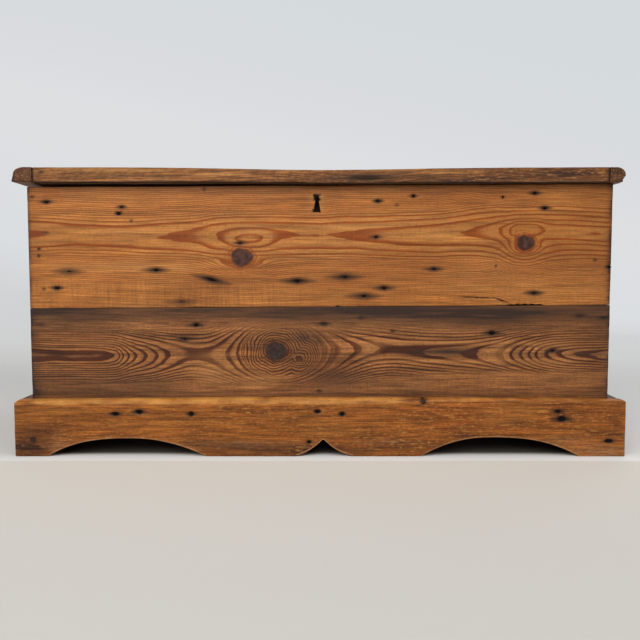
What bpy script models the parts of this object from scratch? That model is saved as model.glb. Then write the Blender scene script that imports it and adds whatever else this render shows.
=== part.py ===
"""Old pine blanket chest: a carcass of reused boards on a shaped plinth, with a hinged lid and a box lock.

The frame: +X to the chest's right as seen from the front, +Y to its back, +Z up.
The origin is on the floor, below the middle of the chest's outer box. Lengths are in metres.
"""

import math

import bmesh
import bpy
from mathutils import Matrix, Vector

MM = 0.001

# Clearances
FIT_GAP = 0.3 * MM
CUT_OVERRUN = 5 * MM
PIN_CLEARANCE = 0.06 * MM

# Carcass boards
CARCASS_WIDTH = 881 * MM
CARCASS_DEPTH = 425 * MM
BOARD_THICKNESS = 20 * MM
UNDERSIDE_HEIGHT = 52 * MM
LOWER_BOARD_WIDTH = 175.7 * MM
UPPER_BOARD_WIDTH = 182.7 * MM
FRONT_RISE = 5.2 * MM
SIDE_LOWER_BOARD_WIDTH = 168 * MM
BACK_LOWER_BOARD_WIDTH = 186 * MM
BOARD_ARRIS = 1.5 * MM
ARRIS_SEGMENTS = 2

# Bottom boards, which run from front to back under the carcass
BOTTOM_BOARD_COUNT = 4
BOTTOM_THICKNESS = 16 * MM

# Plinth, round the front and both sides
PLINTH_HEIGHT = 88 * MM
PLINTH_THICKNESS = 19.2 * MM
PLINTH_CHAMFER = 6 * MM
PLINTH_BLOCK_SIDE = 34 * MM
PLINTH_BLOCK_FLOOR_GAP = 3 * MM

# Cuts along the plinth's lower edge: where each begins, peaks and ends, as shares of the plinth's length
ARCH_HEIGHT = 27.5 * MM
LEFT_ARCH_SHARES = (0.053, 0.192, 0.314)
LEFT_ARCH_POWERS = (2.8, 2.0)
RIGHT_ARCH_SHARES = (0.675, 0.790, 0.924)
RIGHT_ARCH_POWERS = (2.2, 2.2)
NOTCH_HEIGHT = 24 * MM
NOTCH_SHARES = (0.453, 0.505, 0.572)
NOTCH_POWERS = (1.9, 2.8)
CURVE_STEPS = 10

# Lid
LID_THICKNESS = 21.5 * MM
LID_OVERHANG = 14 * MM
LID_BOARD_COUNT = 3
LEFT_CLEAT_WIDTH = 28 * MM
RIGHT_CLEAT_WIDTH = 25 * MM
CLEAT_ROUND_STEPS = 6

# Hinges: a pair of five-knuckle butts with their pins just behind the carcass
HINGE_INSET = 150 * MM
HINGE_LENGTH = 76 * MM
HINGE_SETBACK = 2 * MM
LEAF_REACH = 19 * MM
LEAF_THICKNESS = 2 * MM
KNUCKLE_COUNT = 5
KNUCKLE_RADIUS = 4 * MM
HINGE_PIN_RADIUS = 2 * MM
HINGE_PIN_PROUD = 1 * MM
ROUND_SIDES = 24
HINGE_SCREW_SHARES = (-0.36, 0.0, 0.36)

# Countersunk screws
HINGE_SCREW_HEAD_RADIUS = 3.4 * MM
HINGE_SCREW_SHANK_RADIUS = 1.9 * MM
HINGE_SCREW_LENGTH = 16 * MM
LOCK_SCREW_HEAD_RADIUS = 2.8 * MM
LOCK_SCREW_SHANK_RADIUS = 1.4 * MM
LOCK_SCREW_LENGTH = 11 * MM
SCREW_HEAD_SINK = 0.2 * MM
SCREW_SLOT_WIDTH = 0.8 * MM
SCREW_SLOT_DEPTH = 0.6 * MM
SCREW_POINT_SHARE = 0.25
SCREW_SIDES = 16

# Keyhole, cut straight through the upper front board
KEYHOLE_OFFSET = -4.5 * MM
KEYHOLE_RADIUS = 3.6 * MM
KEYHOLE_NECK_SHARE = 0.75
KEYHOLE_FOOT_WIDTH = 11.4 * MM
KEYHOLE_DROP = 20.2 * MM
KEYHOLE_ARC_STEPS = 12

# Box lock, let into the back of the upper front board
KEY_PIN_RADIUS = 1.5 * MM
KEY_PIN_LENGTH = 10 * MM
LOCK_FLANGE = 8 * MM
LOCK_METAL = 1.5 * MM
LOCK_SELVEDGE_SINK = 0.6 * MM
LOCK_SELVEDGE_WIDTH = 14 * MM
LOCK_CASE_WIDTH = 60 * MM
LOCK_CASE_HEIGHT = 44 * MM
LOCK_CASE_DEPTH = 12 * MM
LOCK_CASE_WALL = 1.2 * MM
LOCK_SCREW_INSET = 4 * MM
LOCK_SCREW_DROP = 14 * MM
WARD_RADIUS = 8 * MM
WARD_THICKNESS = 0.8 * MM
WARD_HEIGHT = 3 * MM
WARD_START_DEG = 160
WARD_SWEEP_DEG = 220
WARD_STEPS = 16

# Sliding bolt: a bar with two hooks, which pass through the lugs on the lid
BOLT_LINE_DEPTH = 4.75 * MM
BOLT_THICKNESS = 3 * MM
BOLT_BAR_RISE = 4.2 * MM
BOLT_BAR_HEIGHT = 4 * MM
BOLT_END_GAP = 1.3 * MM
BOLT_TALON_WIDTH = 9 * MM
BOLT_TALON_DEPTH = 1.6 * MM
HOOK_TOP_GAP = 2.4 * MM
HOOK_HEIGHT = 3.4 * MM
HOOK_POST_WIDTH = 3 * MM
HOOK_LUG_GAP = 1.5 * MM
HOOK_PROUD = 1.5 * MM
BOLT_GUIDE_LENGTH = 11 * MM
BOLT_GUIDE_HEIGHT = 2 * MM
BOLT_SPRING_RADIUS = 0.6 * MM
BOLT_SPRING_SIDE_GAP = 0.7 * MM
BOLT_SPRING_STEPS = 14

# Link plate under the lid, with two pierced lugs
LUG_SPACING = 27 * MM
LUG_THICKNESS = 3 * MM
LUG_WIDTH = 7.5 * MM
LUG_WALL = 2.2 * MM
LUG_FLOOR_GAP = 1.5 * MM
LUG_HOLE_WIDTH = 4.2 * MM
LUG_HOLE_HEIGHT = 4.6 * MM
LUG_SLOT_CLEARANCE = 0.8 * MM
LINK_PLATE_SETBACK = 3 * MM
LINK_PLATE_WIDTH = 14 * MM
LINK_SCREW_INSET = 6 * MM

# Levels and faces that follow from the sizes above
PLINTH_FRONT_Y = -(PLINTH_THICKNESS + FIT_GAP + CARCASS_DEPTH + LID_OVERHANG) / 2
FRONT_Y = PLINTH_FRONT_Y + PLINTH_THICKNESS + FIT_GAP
BACK_Y = FRONT_Y + CARCASS_DEPTH
FRONT_INNER_Y = FRONT_Y + BOARD_THICKNESS
BACK_INNER_Y = BACK_Y - BOARD_THICKNESS
RIGHT_X = CARCASS_WIDTH / 2
LEFT_X = -RIGHT_X
CARCASS_TOP = UNDERSIDE_HEIGHT + LOWER_BOARD_WIDTH + FIT_GAP + UPPER_BOARD_WIDTH
LID_UNDERSIDE = CARCASS_TOP + FIT_GAP
LID_TOP = LID_UNDERSIDE + LID_THICKNESS
LID_LEFT_X = LEFT_X - LID_OVERHANG
LID_RIGHT_X = RIGHT_X + LID_OVERHANG
LID_FRONT_Y = FRONT_Y - LID_OVERHANG
LID_BACK_Y = BACK_Y + LID_OVERHANG
PLINTH_LEFT_X = LEFT_X - FIT_GAP - PLINTH_THICKNESS
PLINTH_LENGTH = CARCASS_WIDTH + 2 * (FIT_GAP + PLINTH_THICKNESS)
HINGE_Y = BACK_Y + HINGE_SETBACK
HINGE_Z = (CARCASS_TOP + LID_UNDERSIDE) / 2


def front_top_at(x):
    """Height of the upper front board's top edge, which climbs evenly from left to right."""
    return CARCASS_TOP - FRONT_RISE * (RIGHT_X - x) / CARCASS_WIDTH


# The lock hangs from its selvedge: hooks, then the lugs' lower ends, then the bolt's bar, then the key pin
LOCK_X = KEYHOLE_OFFSET
SELVEDGE_TOP = front_top_at(LOCK_X) - LOCK_SELVEDGE_SINK
SELVEDGE_UNDER = SELVEDGE_TOP - LOCK_METAL
HOOK_Z = SELVEDGE_UNDER - HOOK_TOP_GAP - HOOK_HEIGHT / 2
LUG_LOW = HOOK_Z - LUG_HOLE_HEIGHT / 2 - LUG_WALL
BOLT_BAR_TOP = LUG_LOW - LUG_FLOOR_GAP
BOLT_BAR_LOW = BOLT_BAR_TOP - BOLT_BAR_HEIGHT
KEY_PIN_Z = BOLT_BAR_LOW - BOLT_BAR_RISE
LOCK_CASE_TOP = SELVEDGE_UNDER - FIT_GAP
LOCK_CASE_LOW = LOCK_CASE_TOP - LOCK_CASE_HEIGHT
LOCK_PLATE_LOW = LOCK_CASE_LOW - LOCK_FLANGE
LOCK_PLATE_HALF = LOCK_CASE_WIDTH / 2 + LOCK_FLANGE
PLATE_FACE_Y = FRONT_INNER_Y + FIT_GAP
BOLT_Y = FRONT_INNER_Y - BOLT_LINE_DEPTH
BOLT_BAR_LEFT = LOCK_X - LOCK_CASE_WIDTH / 2 + LOCK_CASE_WALL + BOLT_END_GAP
BOLT_TRAVEL = HOOK_LUG_GAP + LUG_THICKNESS + HOOK_PROUD
BOLT_BAR_RIGHT = LOCK_X + LOCK_CASE_WIDTH / 2 - LOCK_CASE_WALL - BOLT_END_GAP - BOLT_TRAVEL
LUG_XS = (LOCK_X - LUG_SPACING / 2, LOCK_X + LUG_SPACING / 2)


def hook_tip(lug_x):
    """Right end of one hook, which rests just short of its lug while the lid is free."""
    return lug_x - LUG_THICKNESS / 2 - HOOK_LUG_GAP


def hook_post(lug_x):
    """Left and right side of a hook's post, which stops just short of the lug when the bolt is thrown."""
    right = hook_tip(lug_x) - BOLT_TRAVEL
    return right - HOOK_POST_WIDTH, right


# Frame, collections and materials


def clear_scene():
    for obj in list(bpy.data.objects):
        bpy.data.objects.remove(obj, do_unlink=True)


def new_collection(name):
    made = bpy.data.collections.new(name)
    bpy.context.scene.collection.children.link(made)
    return made


def srgb(code):
    """Linear RGBA from a six-digit sRGB hex code."""
    channels = [int(code[i : i + 2], 16) / 255 for i in (0, 2, 4)]
    linear = [c / 12.92 if c <= 0.04045 else ((c + 0.055) / 1.055) ** 2.4 for c in channels]
    return (*linear, 1.0)


def make_material(name, code, roughness, metallic=0.0):
    material = bpy.data.materials.new(name)
    material.use_nodes = True
    shader = material.node_tree.nodes["Principled BSDF"]
    shader.inputs["Base Color"].default_value = srgb(code)
    shader.inputs["Roughness"].default_value = roughness
    shader.inputs["Metallic"].default_value = metallic
    return material


def make_empty(name, location, parent=None):
    empty = bpy.data.objects.new(name, None)
    PARTS.objects.link(empty)
    empty.parent = parent
    empty.location = location
    return empty


def adopt(obj, name, material, parent, home):
    """Names a new object, puts it in its collection and hangs it on its parent without moving it."""
    obj.name = name
    obj.data.name = name
    for owner in list(obj.users_collection):
        owner.objects.unlink(obj)
    home.objects.link(obj)
    if material is not None:
        obj.data.materials.append(material)
    if parent is not None:
        obj.parent = parent
        obj.location = obj.location - parent.matrix_world.translation
    if home is CUTTERS:
        obj.hide_render = True
        obj.display_type = "WIRE"
    return obj


# Shapes


def box(name, low, high, material=None, parent=None, home=None):
    """A block between two corners, its origin at its middle."""
    low, high = Vector(low), Vector(high)
    bpy.ops.mesh.primitive_cube_add(size=1, location=(low + high) / 2)
    obj = bpy.context.object
    obj.data.transform(Matrix.Diagonal((*(high - low), 1)))
    return adopt(obj, name, material, parent, home or PARTS)


ALONG_X = (0, math.pi / 2, 0)
ALONG_Y = (math.pi / 2, 0, 0)


def rod(name, radius, centre, length, material=None, parent=None, home=None, turn=ALONG_X):
    """A round bar, along X unless turned another way."""
    bpy.ops.mesh.primitive_cylinder_add(
        vertices=ROUND_SIDES, radius=radius, depth=length, location=centre, rotation=turn
    )
    obj = bpy.context.object
    obj.data.shade_smooth()
    obj.data.set_sharp_from_angle(angle=math.radians(40))
    return adopt(obj, name, material, parent, home or PARTS)


# How an outline's two directions and its thickness turn into the world's, by the way the thickness points
TURNS = {
    "X": Matrix(((0, 0, 1), (1, 0, 0), (0, 1, 0))),
    "Y": Matrix(((1, 0, 0), (0, 0, -1), (0, 1, 0))),
}


def slab(name, outline, start, stop, along, material=None, parent=None, home=None):
    """A flat outline given thickness: drawn in YZ where the thickness runs along X, and in XZ along Y."""
    curve = bpy.data.curves.new(name, "CURVE")
    curve.dimensions = "2D"
    curve.fill_mode = "BOTH"
    curve.extrude = (stop - start) / 2
    spline = curve.splines.new("POLY")
    spline.points.add(len(outline) - 1)
    for point, (u, v) in zip(spline.points, outline):
        point.co = (u, v, 0, 1)
    spline.use_cyclic_u = True
    drawn = bpy.data.objects.new(name + "_curve", curve)
    bpy.context.scene.collection.objects.link(drawn)
    bpy.context.view_layer.update()
    evaluated = drawn.evaluated_get(bpy.context.evaluated_depsgraph_get())
    mesh = bpy.data.meshes.new_from_object(evaluated)
    bpy.data.objects.remove(drawn, do_unlink=True)
    bm = bmesh.new()
    bm.from_mesh(mesh)
    bmesh.ops.remove_doubles(bm, verts=bm.verts, dist=CUT_OVERRUN / 1000)
    bm.to_mesh(mesh)
    bm.free()
    mesh.transform(TURNS[along].to_4x4())
    middle = (start + stop) / 2
    obj = bpy.data.objects.new(name, mesh)
    bpy.context.scene.collection.objects.link(obj)
    obj.location = (middle, 0, 0) if along == "X" else (0, middle, 0)
    return adopt(obj, name, material, parent, home or PARTS)


def ease(obj, width):
    """Takes the square arrises off a piece."""
    bevel = obj.modifiers.new("arris", "BEVEL")
    bevel.width = width
    bevel.segments = ARRIS_SEGMENTS
    bevel.limit_method = "ANGLE"
    bevel.angle_limit = math.radians(80)
    return obj


def combine(obj, other, operation):
    boolean = obj.modifiers.new(other.name, "BOOLEAN")
    boolean.operation = operation
    boolean.solver = "EXACT"
    boolean.object = other
    return obj


def cut(obj, *cutters):
    for cutter in cutters:
        combine(obj, cutter, "DIFFERENCE")
    return obj


def join(obj, *others):
    for other in others:
        combine(obj, other, "UNION")
    return obj


def tool_box(name, low, high):
    return box(name, low, high, home=CUTTERS)


# Turned screws


def screw_outline(head_radius, shank_radius, length, grow=0.0):
    """Half section of a countersunk screw from its head's rim down to its point, as (radius, height)."""
    head_depth = head_radius - shank_radius
    return [
        (head_radius + grow, grow),
        (head_radius + grow, -FIT_GAP),
        (shank_radius + grow, -head_depth),
        (shank_radius + grow, -length * (1 - SCREW_POINT_SHARE)),
        (shank_radius * SCREW_POINT_SHARE + grow, -length - grow),
    ]


def turned(name, outline, place, turn, material=None, parent=None, home=None):
    """A half section spun round its axis, with its top at a place and its axis turned."""
    points = [(0, outline[0][1]), *outline, (0, outline[-1][1])]
    mesh = bpy.data.meshes.new(name)
    mesh.from_pydata([(r, 0, z) for r, z in points], [(i, i + 1) for i in range(len(points) - 1)], [])
    obj = bpy.data.objects.new(name, mesh)
    bpy.context.scene.collection.objects.link(obj)
    spin = obj.modifiers.new("turn", "SCREW")
    spin.steps = SCREW_SIDES
    spin.render_steps = SCREW_SIDES
    spin.use_merge_vertices = True
    spin.merge_threshold = FIT_GAP / 10
    obj.location = place
    obj.rotation_euler = turn
    return adopt(obj, name, material, parent, home or PARTS)


def wood_screw(name, place, turn, sizes, material, parent, *holed):
    """A slotted countersunk screw, and its hole in every piece that it passes through."""
    head_radius = sizes[0]
    screw = turned(name, screw_outline(*sizes), place, turn, material, parent)
    hole_outline = screw_outline(*sizes, grow=FIT_GAP)
    hole_outline[0] = (head_radius + FIT_GAP, CUT_OVERRUN)
    hole = turned(name + "_hole", hole_outline, place, turn, home=CUTTERS)
    reach, half_slot = head_radius + CUT_OVERRUN, SCREW_SLOT_WIDTH / 2
    slot = tool_box(name + "_slot", (-reach, -half_slot, -SCREW_SLOT_DEPTH), (reach, half_slot, CUT_OVERRUN))
    slot.data.transform(Matrix.Translation(slot.location))
    slot.location = place
    slot.rotation_euler = turn
    cut(screw, slot)
    for piece in holed:
        cut(piece, hole)
    return screw


# Carcass


def front_boards(root, sound_pine, dark_pine):
    """Two reused boards, edge to edge, which climb a little from left to right."""
    joint_right = UNDERSIDE_HEIGHT + LOWER_BOARD_WIDTH
    joint_left = joint_right - FRONT_RISE
    lower_outline = [
        (LEFT_X, UNDERSIDE_HEIGHT),
        (RIGHT_X, UNDERSIDE_HEIGHT),
        (RIGHT_X, joint_right),
        (LEFT_X, joint_left),
    ]
    upper_outline = [
        (LEFT_X, joint_left + FIT_GAP),
        (RIGHT_X, joint_right + FIT_GAP),
        (RIGHT_X, front_top_at(RIGHT_X)),
        (LEFT_X, front_top_at(LEFT_X)),
    ]
    lower = slab("front_lower_board", lower_outline, FRONT_Y, FRONT_INNER_Y, "Y", dark_pine, root)
    upper = slab("front_upper_board", upper_outline, FRONT_Y, FRONT_INNER_Y, "Y", sound_pine, root)
    return ease(upper, BOARD_ARRIS), ease(lower, BOARD_ARRIS)


def back_boards(root, pine):
    joint = UNDERSIDE_HEIGHT + BACK_LOWER_BOARD_WIDTH
    lower = box(
        "back_lower_board",
        (LEFT_X, BACK_INNER_Y, UNDERSIDE_HEIGHT),
        (RIGHT_X, BACK_Y, joint),
        pine,
        root,
    )
    upper = box(
        "back_upper_board",
        (LEFT_X, BACK_INNER_Y, joint + FIT_GAP),
        (RIGHT_X, BACK_Y, CARCASS_TOP),
        pine,
        root,
    )
    return ease(upper, BOARD_ARRIS), ease(lower, BOARD_ARRIS)


def side_boards(root, pine, side, span, front_top):
    """One end of the carcass, held between the front and the back. Its top edge meets the front's."""
    joint = UNDERSIDE_HEIGHT + SIDE_LOWER_BOARD_WIDTH
    start_x, stop_x = span
    start_y, stop_y = FRONT_INNER_Y + FIT_GAP, BACK_INNER_Y - FIT_GAP
    lower = box(
        side + "_side_lower_board",
        (start_x, start_y, UNDERSIDE_HEIGHT),
        (stop_x, stop_y, joint),
        pine,
        root,
    )
    upper_outline = [
        (start_y, joint + FIT_GAP),
        (stop_y, joint + FIT_GAP),
        (stop_y, CARCASS_TOP),
        (start_y, front_top),
    ]
    upper = slab(side + "_side_upper_board", upper_outline, start_x, stop_x, "X", pine, root)
    ease(lower, BOARD_ARRIS)
    ease(upper, BOARD_ARRIS)


def bottom_boards(root, pine):
    """Planks from front to back, nailed up under the carcass."""
    top = UNDERSIDE_HEIGHT - FIT_GAP
    pitch = (CARCASS_WIDTH + FIT_GAP) / BOTTOM_BOARD_COUNT
    for i in range(BOTTOM_BOARD_COUNT):
        left = LEFT_X + i * pitch
        plank = box(
            f"bottom_board_{i + 1}",
            (left, FRONT_Y, top - BOTTOM_THICKNESS),
            (left + pitch - FIT_GAP, BACK_Y, top),
            pine,
            root,
        )
        ease(plank, BOARD_ARRIS)


# Plinth


def arch_rise(away, power):
    """Share of an arch's height, by the share of the way from its peak to its end: flat on top."""
    return 1 - away**power


def notch_rise(away, power):
    """Share of the notch's height, likewise: a sharp point on top, which runs out between two round lobes."""
    return (1 - away) ** power


def cut_outline(shares, powers, height, rise):
    """Outline of one cut along the plinth's lower edge, with its two sides drawn each with its own power."""
    start, peak, end = (PLINTH_LEFT_X + share * PLINTH_LENGTH for share in shares)
    outline = [(start, -CUT_OVERRUN)]
    for i in range(2 * CURVE_STEPS + 1):
        way = i / CURVE_STEPS - 1
        reach, power = ((peak - start), powers[0]) if way < 0 else ((end - peak), powers[1])
        outline.append((peak + way * reach, height * rise(abs(way), power)))
    outline.append((end, -CUT_OVERRUN))
    return outline


def plinth_section(outer, inner):
    """Cross-section of a plinth board, with its top outer edge taken off, as (distance, height)."""
    inward = 1 if inner > outer else -1
    return [
        (outer, 0),
        (inner, 0),
        (inner, PLINTH_HEIGHT),
        (outer + inward * PLINTH_CHAMFER, PLINTH_HEIGHT),
        (outer, PLINTH_HEIGHT - PLINTH_CHAMFER),
    ]


def end_chamfer(name, x):
    """A square bar on edge, which takes the top corner off one end of the front plinth board."""
    half_side = PLINTH_CHAMFER / math.sqrt(2)
    half_length = PLINTH_THICKNESS / 2 + CUT_OVERRUN
    cutter = tool_box(name, (-half_side, -half_length, -half_side), (half_side, half_length, half_side))
    cutter.rotation_euler = (0, math.radians(45), 0)
    cutter.location = (x, PLINTH_FRONT_Y + PLINTH_THICKNESS / 2, PLINTH_HEIGHT)
    return cutter


def edge_cut(name, outline):
    return slab(name, outline, PLINTH_FRONT_Y - CUT_OVERRUN, FRONT_Y, "Y", home=CUTTERS)


def plinth(root, pine):
    right_x = PLINTH_LEFT_X + PLINTH_LENGTH
    front_inner = PLINTH_FRONT_Y + PLINTH_THICKNESS
    section = plinth_section(PLINTH_FRONT_Y, front_inner)
    front = slab("plinth_front", section, PLINTH_LEFT_X, right_x, "X", pine, root)
    left_arch = cut_outline(LEFT_ARCH_SHARES, LEFT_ARCH_POWERS, ARCH_HEIGHT, arch_rise)
    right_arch = cut_outline(RIGHT_ARCH_SHARES, RIGHT_ARCH_POWERS, ARCH_HEIGHT, arch_rise)
    notch = cut_outline(NOTCH_SHARES, NOTCH_POWERS, NOTCH_HEIGHT, notch_rise)
    cut(
        front,
        edge_cut("left_arch_cut", left_arch),
        edge_cut("right_arch_cut", right_arch),
        edge_cut("notch_cut", notch),
        end_chamfer("left_end_chamfer", PLINTH_LEFT_X),
        end_chamfer("right_end_chamfer", right_x),
    )
    start_y = front_inner + FIT_GAP
    for side, outer, inner in (
        ("left", PLINTH_LEFT_X, LEFT_X - FIT_GAP),
        ("right", right_x, RIGHT_X + FIT_GAP),
    ):
        slab(f"plinth_{side}", plinth_section(outer, inner), start_y, BACK_Y, "Y", pine, root)


def plinth_blocks(root, pine):
    """Glue blocks in the four corners, under the bottom boards."""
    top = UNDERSIDE_HEIGHT - FIT_GAP - BOTTOM_THICKNESS - FIT_GAP
    width = PLINTH_BLOCK_SIDE
    for end, near in (("front", FRONT_Y), ("back", BACK_Y - width)):
        for side, left in (("left", LEFT_X), ("right", RIGHT_X - width)):
            low = (left, near, PLINTH_BLOCK_FLOOR_GAP)
            high = (left + width, near + width, top)
            block = box(f"plinth_block_{end}_{side}", low, high, pine, root)
            ease(block, BOARD_ARRIS)


# Lid


def lid_boards(pivot, pine):
    """Boards that run the chest's length, edge to edge, between the two cleats."""
    depth = LID_BACK_Y - LID_FRONT_Y
    pitch = (depth + FIT_GAP) / LID_BOARD_COUNT
    left = LID_LEFT_X + LEFT_CLEAT_WIDTH + FIT_GAP
    right = LID_RIGHT_X - RIGHT_CLEAT_WIDTH - FIT_GAP
    boards = []
    for i in range(LID_BOARD_COUNT):
        front = LID_FRONT_Y + i * pitch
        board = box(
            f"lid_board_{i + 1}",
            (left, front, LID_UNDERSIDE),
            (right, front + pitch - FIT_GAP, LID_TOP),
            pine,
            pivot,
        )
        boards.append(ease(board, BOARD_ARRIS))
    return boards


# A cleat's section from its lower outer corner, as shares of its width and height, with a rounded shoulder
CLEAT_FACE_SHARES = ((0.0, 0.0), (0.08, 0.66))
CLEAT_SHOULDER_SHARES = (0.44, 1.0)


def cleat_outline(outer_x, inner_x):
    """Section of a lid cleat: a face that leans inwards, then a quarter of an ellipse up to the flat top."""
    width = inner_x - outer_x
    face = [(outer_x + u * width, LID_UNDERSIDE + v * LID_THICKNESS) for u, v in CLEAT_FACE_SHARES]
    (side_u, side_v), (top_u, top_v) = CLEAT_FACE_SHARES[-1], CLEAT_SHOULDER_SHARES
    shoulder = []
    for i in range(1, CLEAT_ROUND_STEPS + 1):
        angle = math.pi / 2 * i / CLEAT_ROUND_STEPS
        u = top_u - (top_u - side_u) * math.cos(angle)
        v = side_v + (top_v - side_v) * math.sin(angle)
        shoulder.append((outer_x + u * width, LID_UNDERSIDE + v * LID_THICKNESS))
    return face + shoulder + [(inner_x, LID_TOP), (inner_x, LID_UNDERSIDE)]


def lid_cleats(pivot, pine):
    for side, outer, inner in (
        ("left", LID_LEFT_X, LID_LEFT_X + LEFT_CLEAT_WIDTH),
        ("right", LID_RIGHT_X, LID_RIGHT_X - RIGHT_CLEAT_WIDTH),
    ):
        slab(f"lid_{side}_cleat", cleat_outline(outer, inner), LID_FRONT_Y, LID_BACK_Y, "Y", pine, pivot)


# Hinges


def knuckle_span(centre_x, index):
    """Left and right end of one knuckle, counted from the left."""
    pitch = HINGE_LENGTH / KNUCKLE_COUNT
    left = centre_x - HINGE_LENGTH / 2 + index * pitch
    return left + FIT_GAP / 2, left + pitch - FIT_GAP / 2


def hinge_leaf(name, centre_x, span, first, material, parent):
    """One leaf with every second knuckle, starting at the first, cut clear of the other leaf's."""
    low_z, high_z = span
    leaf = box(
        name,
        (centre_x - HINGE_LENGTH / 2, HINGE_Y - LEAF_REACH, low_z),
        (centre_x + HINGE_LENGTH / 2, HINGE_Y, high_z),
        material,
        parent,
    )
    for index in range(KNUCKLE_COUNT):
        left, right = knuckle_span(centre_x, index)
        middle = ((left + right) / 2, HINGE_Y, HINGE_Z)
        if index % 2 == first:
            join(leaf, rod(f"{name}_knuckle_{index}", KNUCKLE_RADIUS, middle, right - left, home=CUTTERS))
        else:
            length = right - left + 2 * FIT_GAP
            low = (middle[0] - length / 2, HINGE_Y - KNUCKLE_RADIUS - FIT_GAP, low_z - CUT_OVERRUN)
            high = (middle[0] + length / 2, HINGE_Y + CUT_OVERRUN, high_z + CUT_OVERRUN)
            cut(leaf, tool_box(f"{name}_space_{index}", low, high))
    bore = rod(
        name + "_bore",
        HINGE_PIN_RADIUS + PIN_CLEARANCE,
        (centre_x, HINGE_Y, HINGE_Z),
        HINGE_LENGTH + 2 * CUT_OVERRUN,
        home=CUTTERS,
    )
    return cut(leaf, bore)


def hinge_housing(side, centre_x, back_board, lid_board):
    """Recesses for the leaves and the knuckles in the top of the back and in the underside of the lid."""
    half = HINGE_LENGTH / 2 + FIT_GAP
    pin_half = HINGE_LENGTH / 2 + HINGE_PIN_PROUD + FIT_GAP
    leaf_front = HINGE_Y - LEAF_REACH - FIT_GAP
    knuckle_front = HINGE_Y - KNUCKLE_RADIUS - FIT_GAP
    knuckle_back = HINGE_Y + KNUCKLE_RADIUS + FIT_GAP
    leaf_low = CARCASS_TOP - LEAF_THICKNESS - FIT_GAP
    leaf_high = LID_UNDERSIDE + LEAF_THICKNESS + FIT_GAP
    knuckle_low = HINGE_Z - KNUCKLE_RADIUS - FIT_GAP
    knuckle_high = HINGE_Z + KNUCKLE_RADIUS + FIT_GAP
    above, below = CARCASS_TOP + CUT_OVERRUN, LID_UNDERSIDE - CUT_OVERRUN
    behind = BACK_Y + CUT_OVERRUN
    cut(
        back_board,
        tool_box(
            f"{side}_leaf_recess",
            (centre_x - half, leaf_front, leaf_low),
            (centre_x + half, behind, above),
        ),
        tool_box(
            f"{side}_knuckle_recess",
            (centre_x - pin_half, knuckle_front, knuckle_low),
            (centre_x + pin_half, behind, above),
        ),
    )
    cut(
        lid_board,
        tool_box(
            f"{side}_lid_leaf_recess",
            (centre_x - half, leaf_front, below),
            (centre_x + half, HINGE_Y, leaf_high),
        ),
        tool_box(
            f"{side}_lid_knuckle_recess",
            (centre_x - pin_half, knuckle_front, below),
            (centre_x + pin_half, knuckle_back, knuckle_high),
        ),
    )


def hinge_screws(name, centre_x, place_z, turn, material, parent, leaf, board):
    """A row of screws along the middle of the flat of one leaf, which is what the knuckles leave."""
    sizes = (HINGE_SCREW_HEAD_RADIUS, HINGE_SCREW_SHANK_RADIUS, HINGE_SCREW_LENGTH)
    row_y = HINGE_Y - (LEAF_REACH + KNUCKLE_RADIUS) / 2
    for number, share in enumerate(HINGE_SCREW_SHARES, start=1):
        place = (centre_x + share * HINGE_LENGTH, row_y, place_z)
        wood_screw(f"{name}_{number}", place, turn, sizes, material, parent, leaf, board)


def hinge(side, centre_x, root, pivot, back_board, lid_board, iron):
    lower_leaf_top, upper_leaf_under = CARCASS_TOP, LID_UNDERSIDE
    lower_span = (CARCASS_TOP - LEAF_THICKNESS, CARCASS_TOP)
    upper_span = (LID_UNDERSIDE, LID_UNDERSIDE + LEAF_THICKNESS)
    fixed = hinge_leaf(f"hinge_{side}_carcass_leaf", centre_x, lower_span, 0, iron, root)
    moving = hinge_leaf(f"hinge_{side}_lid_leaf", centre_x, upper_span, 1, iron, pivot)
    pin_length = HINGE_LENGTH + 2 * HINGE_PIN_PROUD
    rod(f"hinge_{side}_pin", HINGE_PIN_RADIUS, (centre_x, HINGE_Y, HINGE_Z), pin_length, iron, root)
    hinge_housing(side, centre_x, back_board, lid_board)
    names = (f"hinge_{side}_carcass_screw", f"hinge_{side}_lid_screw")
    down, up = (0, 0, 0), (math.pi, 0, 0)
    hinge_screws(names[0], centre_x, CARCASS_TOP - SCREW_HEAD_SINK, down, iron, root, fixed, back_board)
    hinge_screws(names[1], centre_x, LID_UNDERSIDE + SCREW_HEAD_SINK, up, iron, pivot, moving, lid_board)


# Lock


def keyhole_outline():
    """A round eye with a skirt that widens down to a square foot."""
    start = -math.acos(KEYHOLE_NECK_SHARE)
    sweep = math.pi - 2 * start
    eye = []
    for i in range(KEYHOLE_ARC_STEPS + 1):
        angle = start + sweep * i / KEYHOLE_ARC_STEPS
        eye.append((LOCK_X + KEYHOLE_RADIUS * math.cos(angle), KEY_PIN_Z + KEYHOLE_RADIUS * math.sin(angle)))
    low, half_foot = KEY_PIN_Z - KEYHOLE_DROP, KEYHOLE_FOOT_WIDTH / 2
    return eye + [(LOCK_X - half_foot, low), (LOCK_X + half_foot, low)]


def keyhole_cutter(name, near_y):
    """Keyhole-shaped cutter that goes in from a front face as far as the lock's hollow."""
    hollow_y = FRONT_INNER_Y - LOCK_CASE_DEPTH + CUT_OVERRUN
    return slab(name, keyhole_outline(), near_y - CUT_OVERRUN, hollow_y, "Y", home=CUTTERS)


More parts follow.
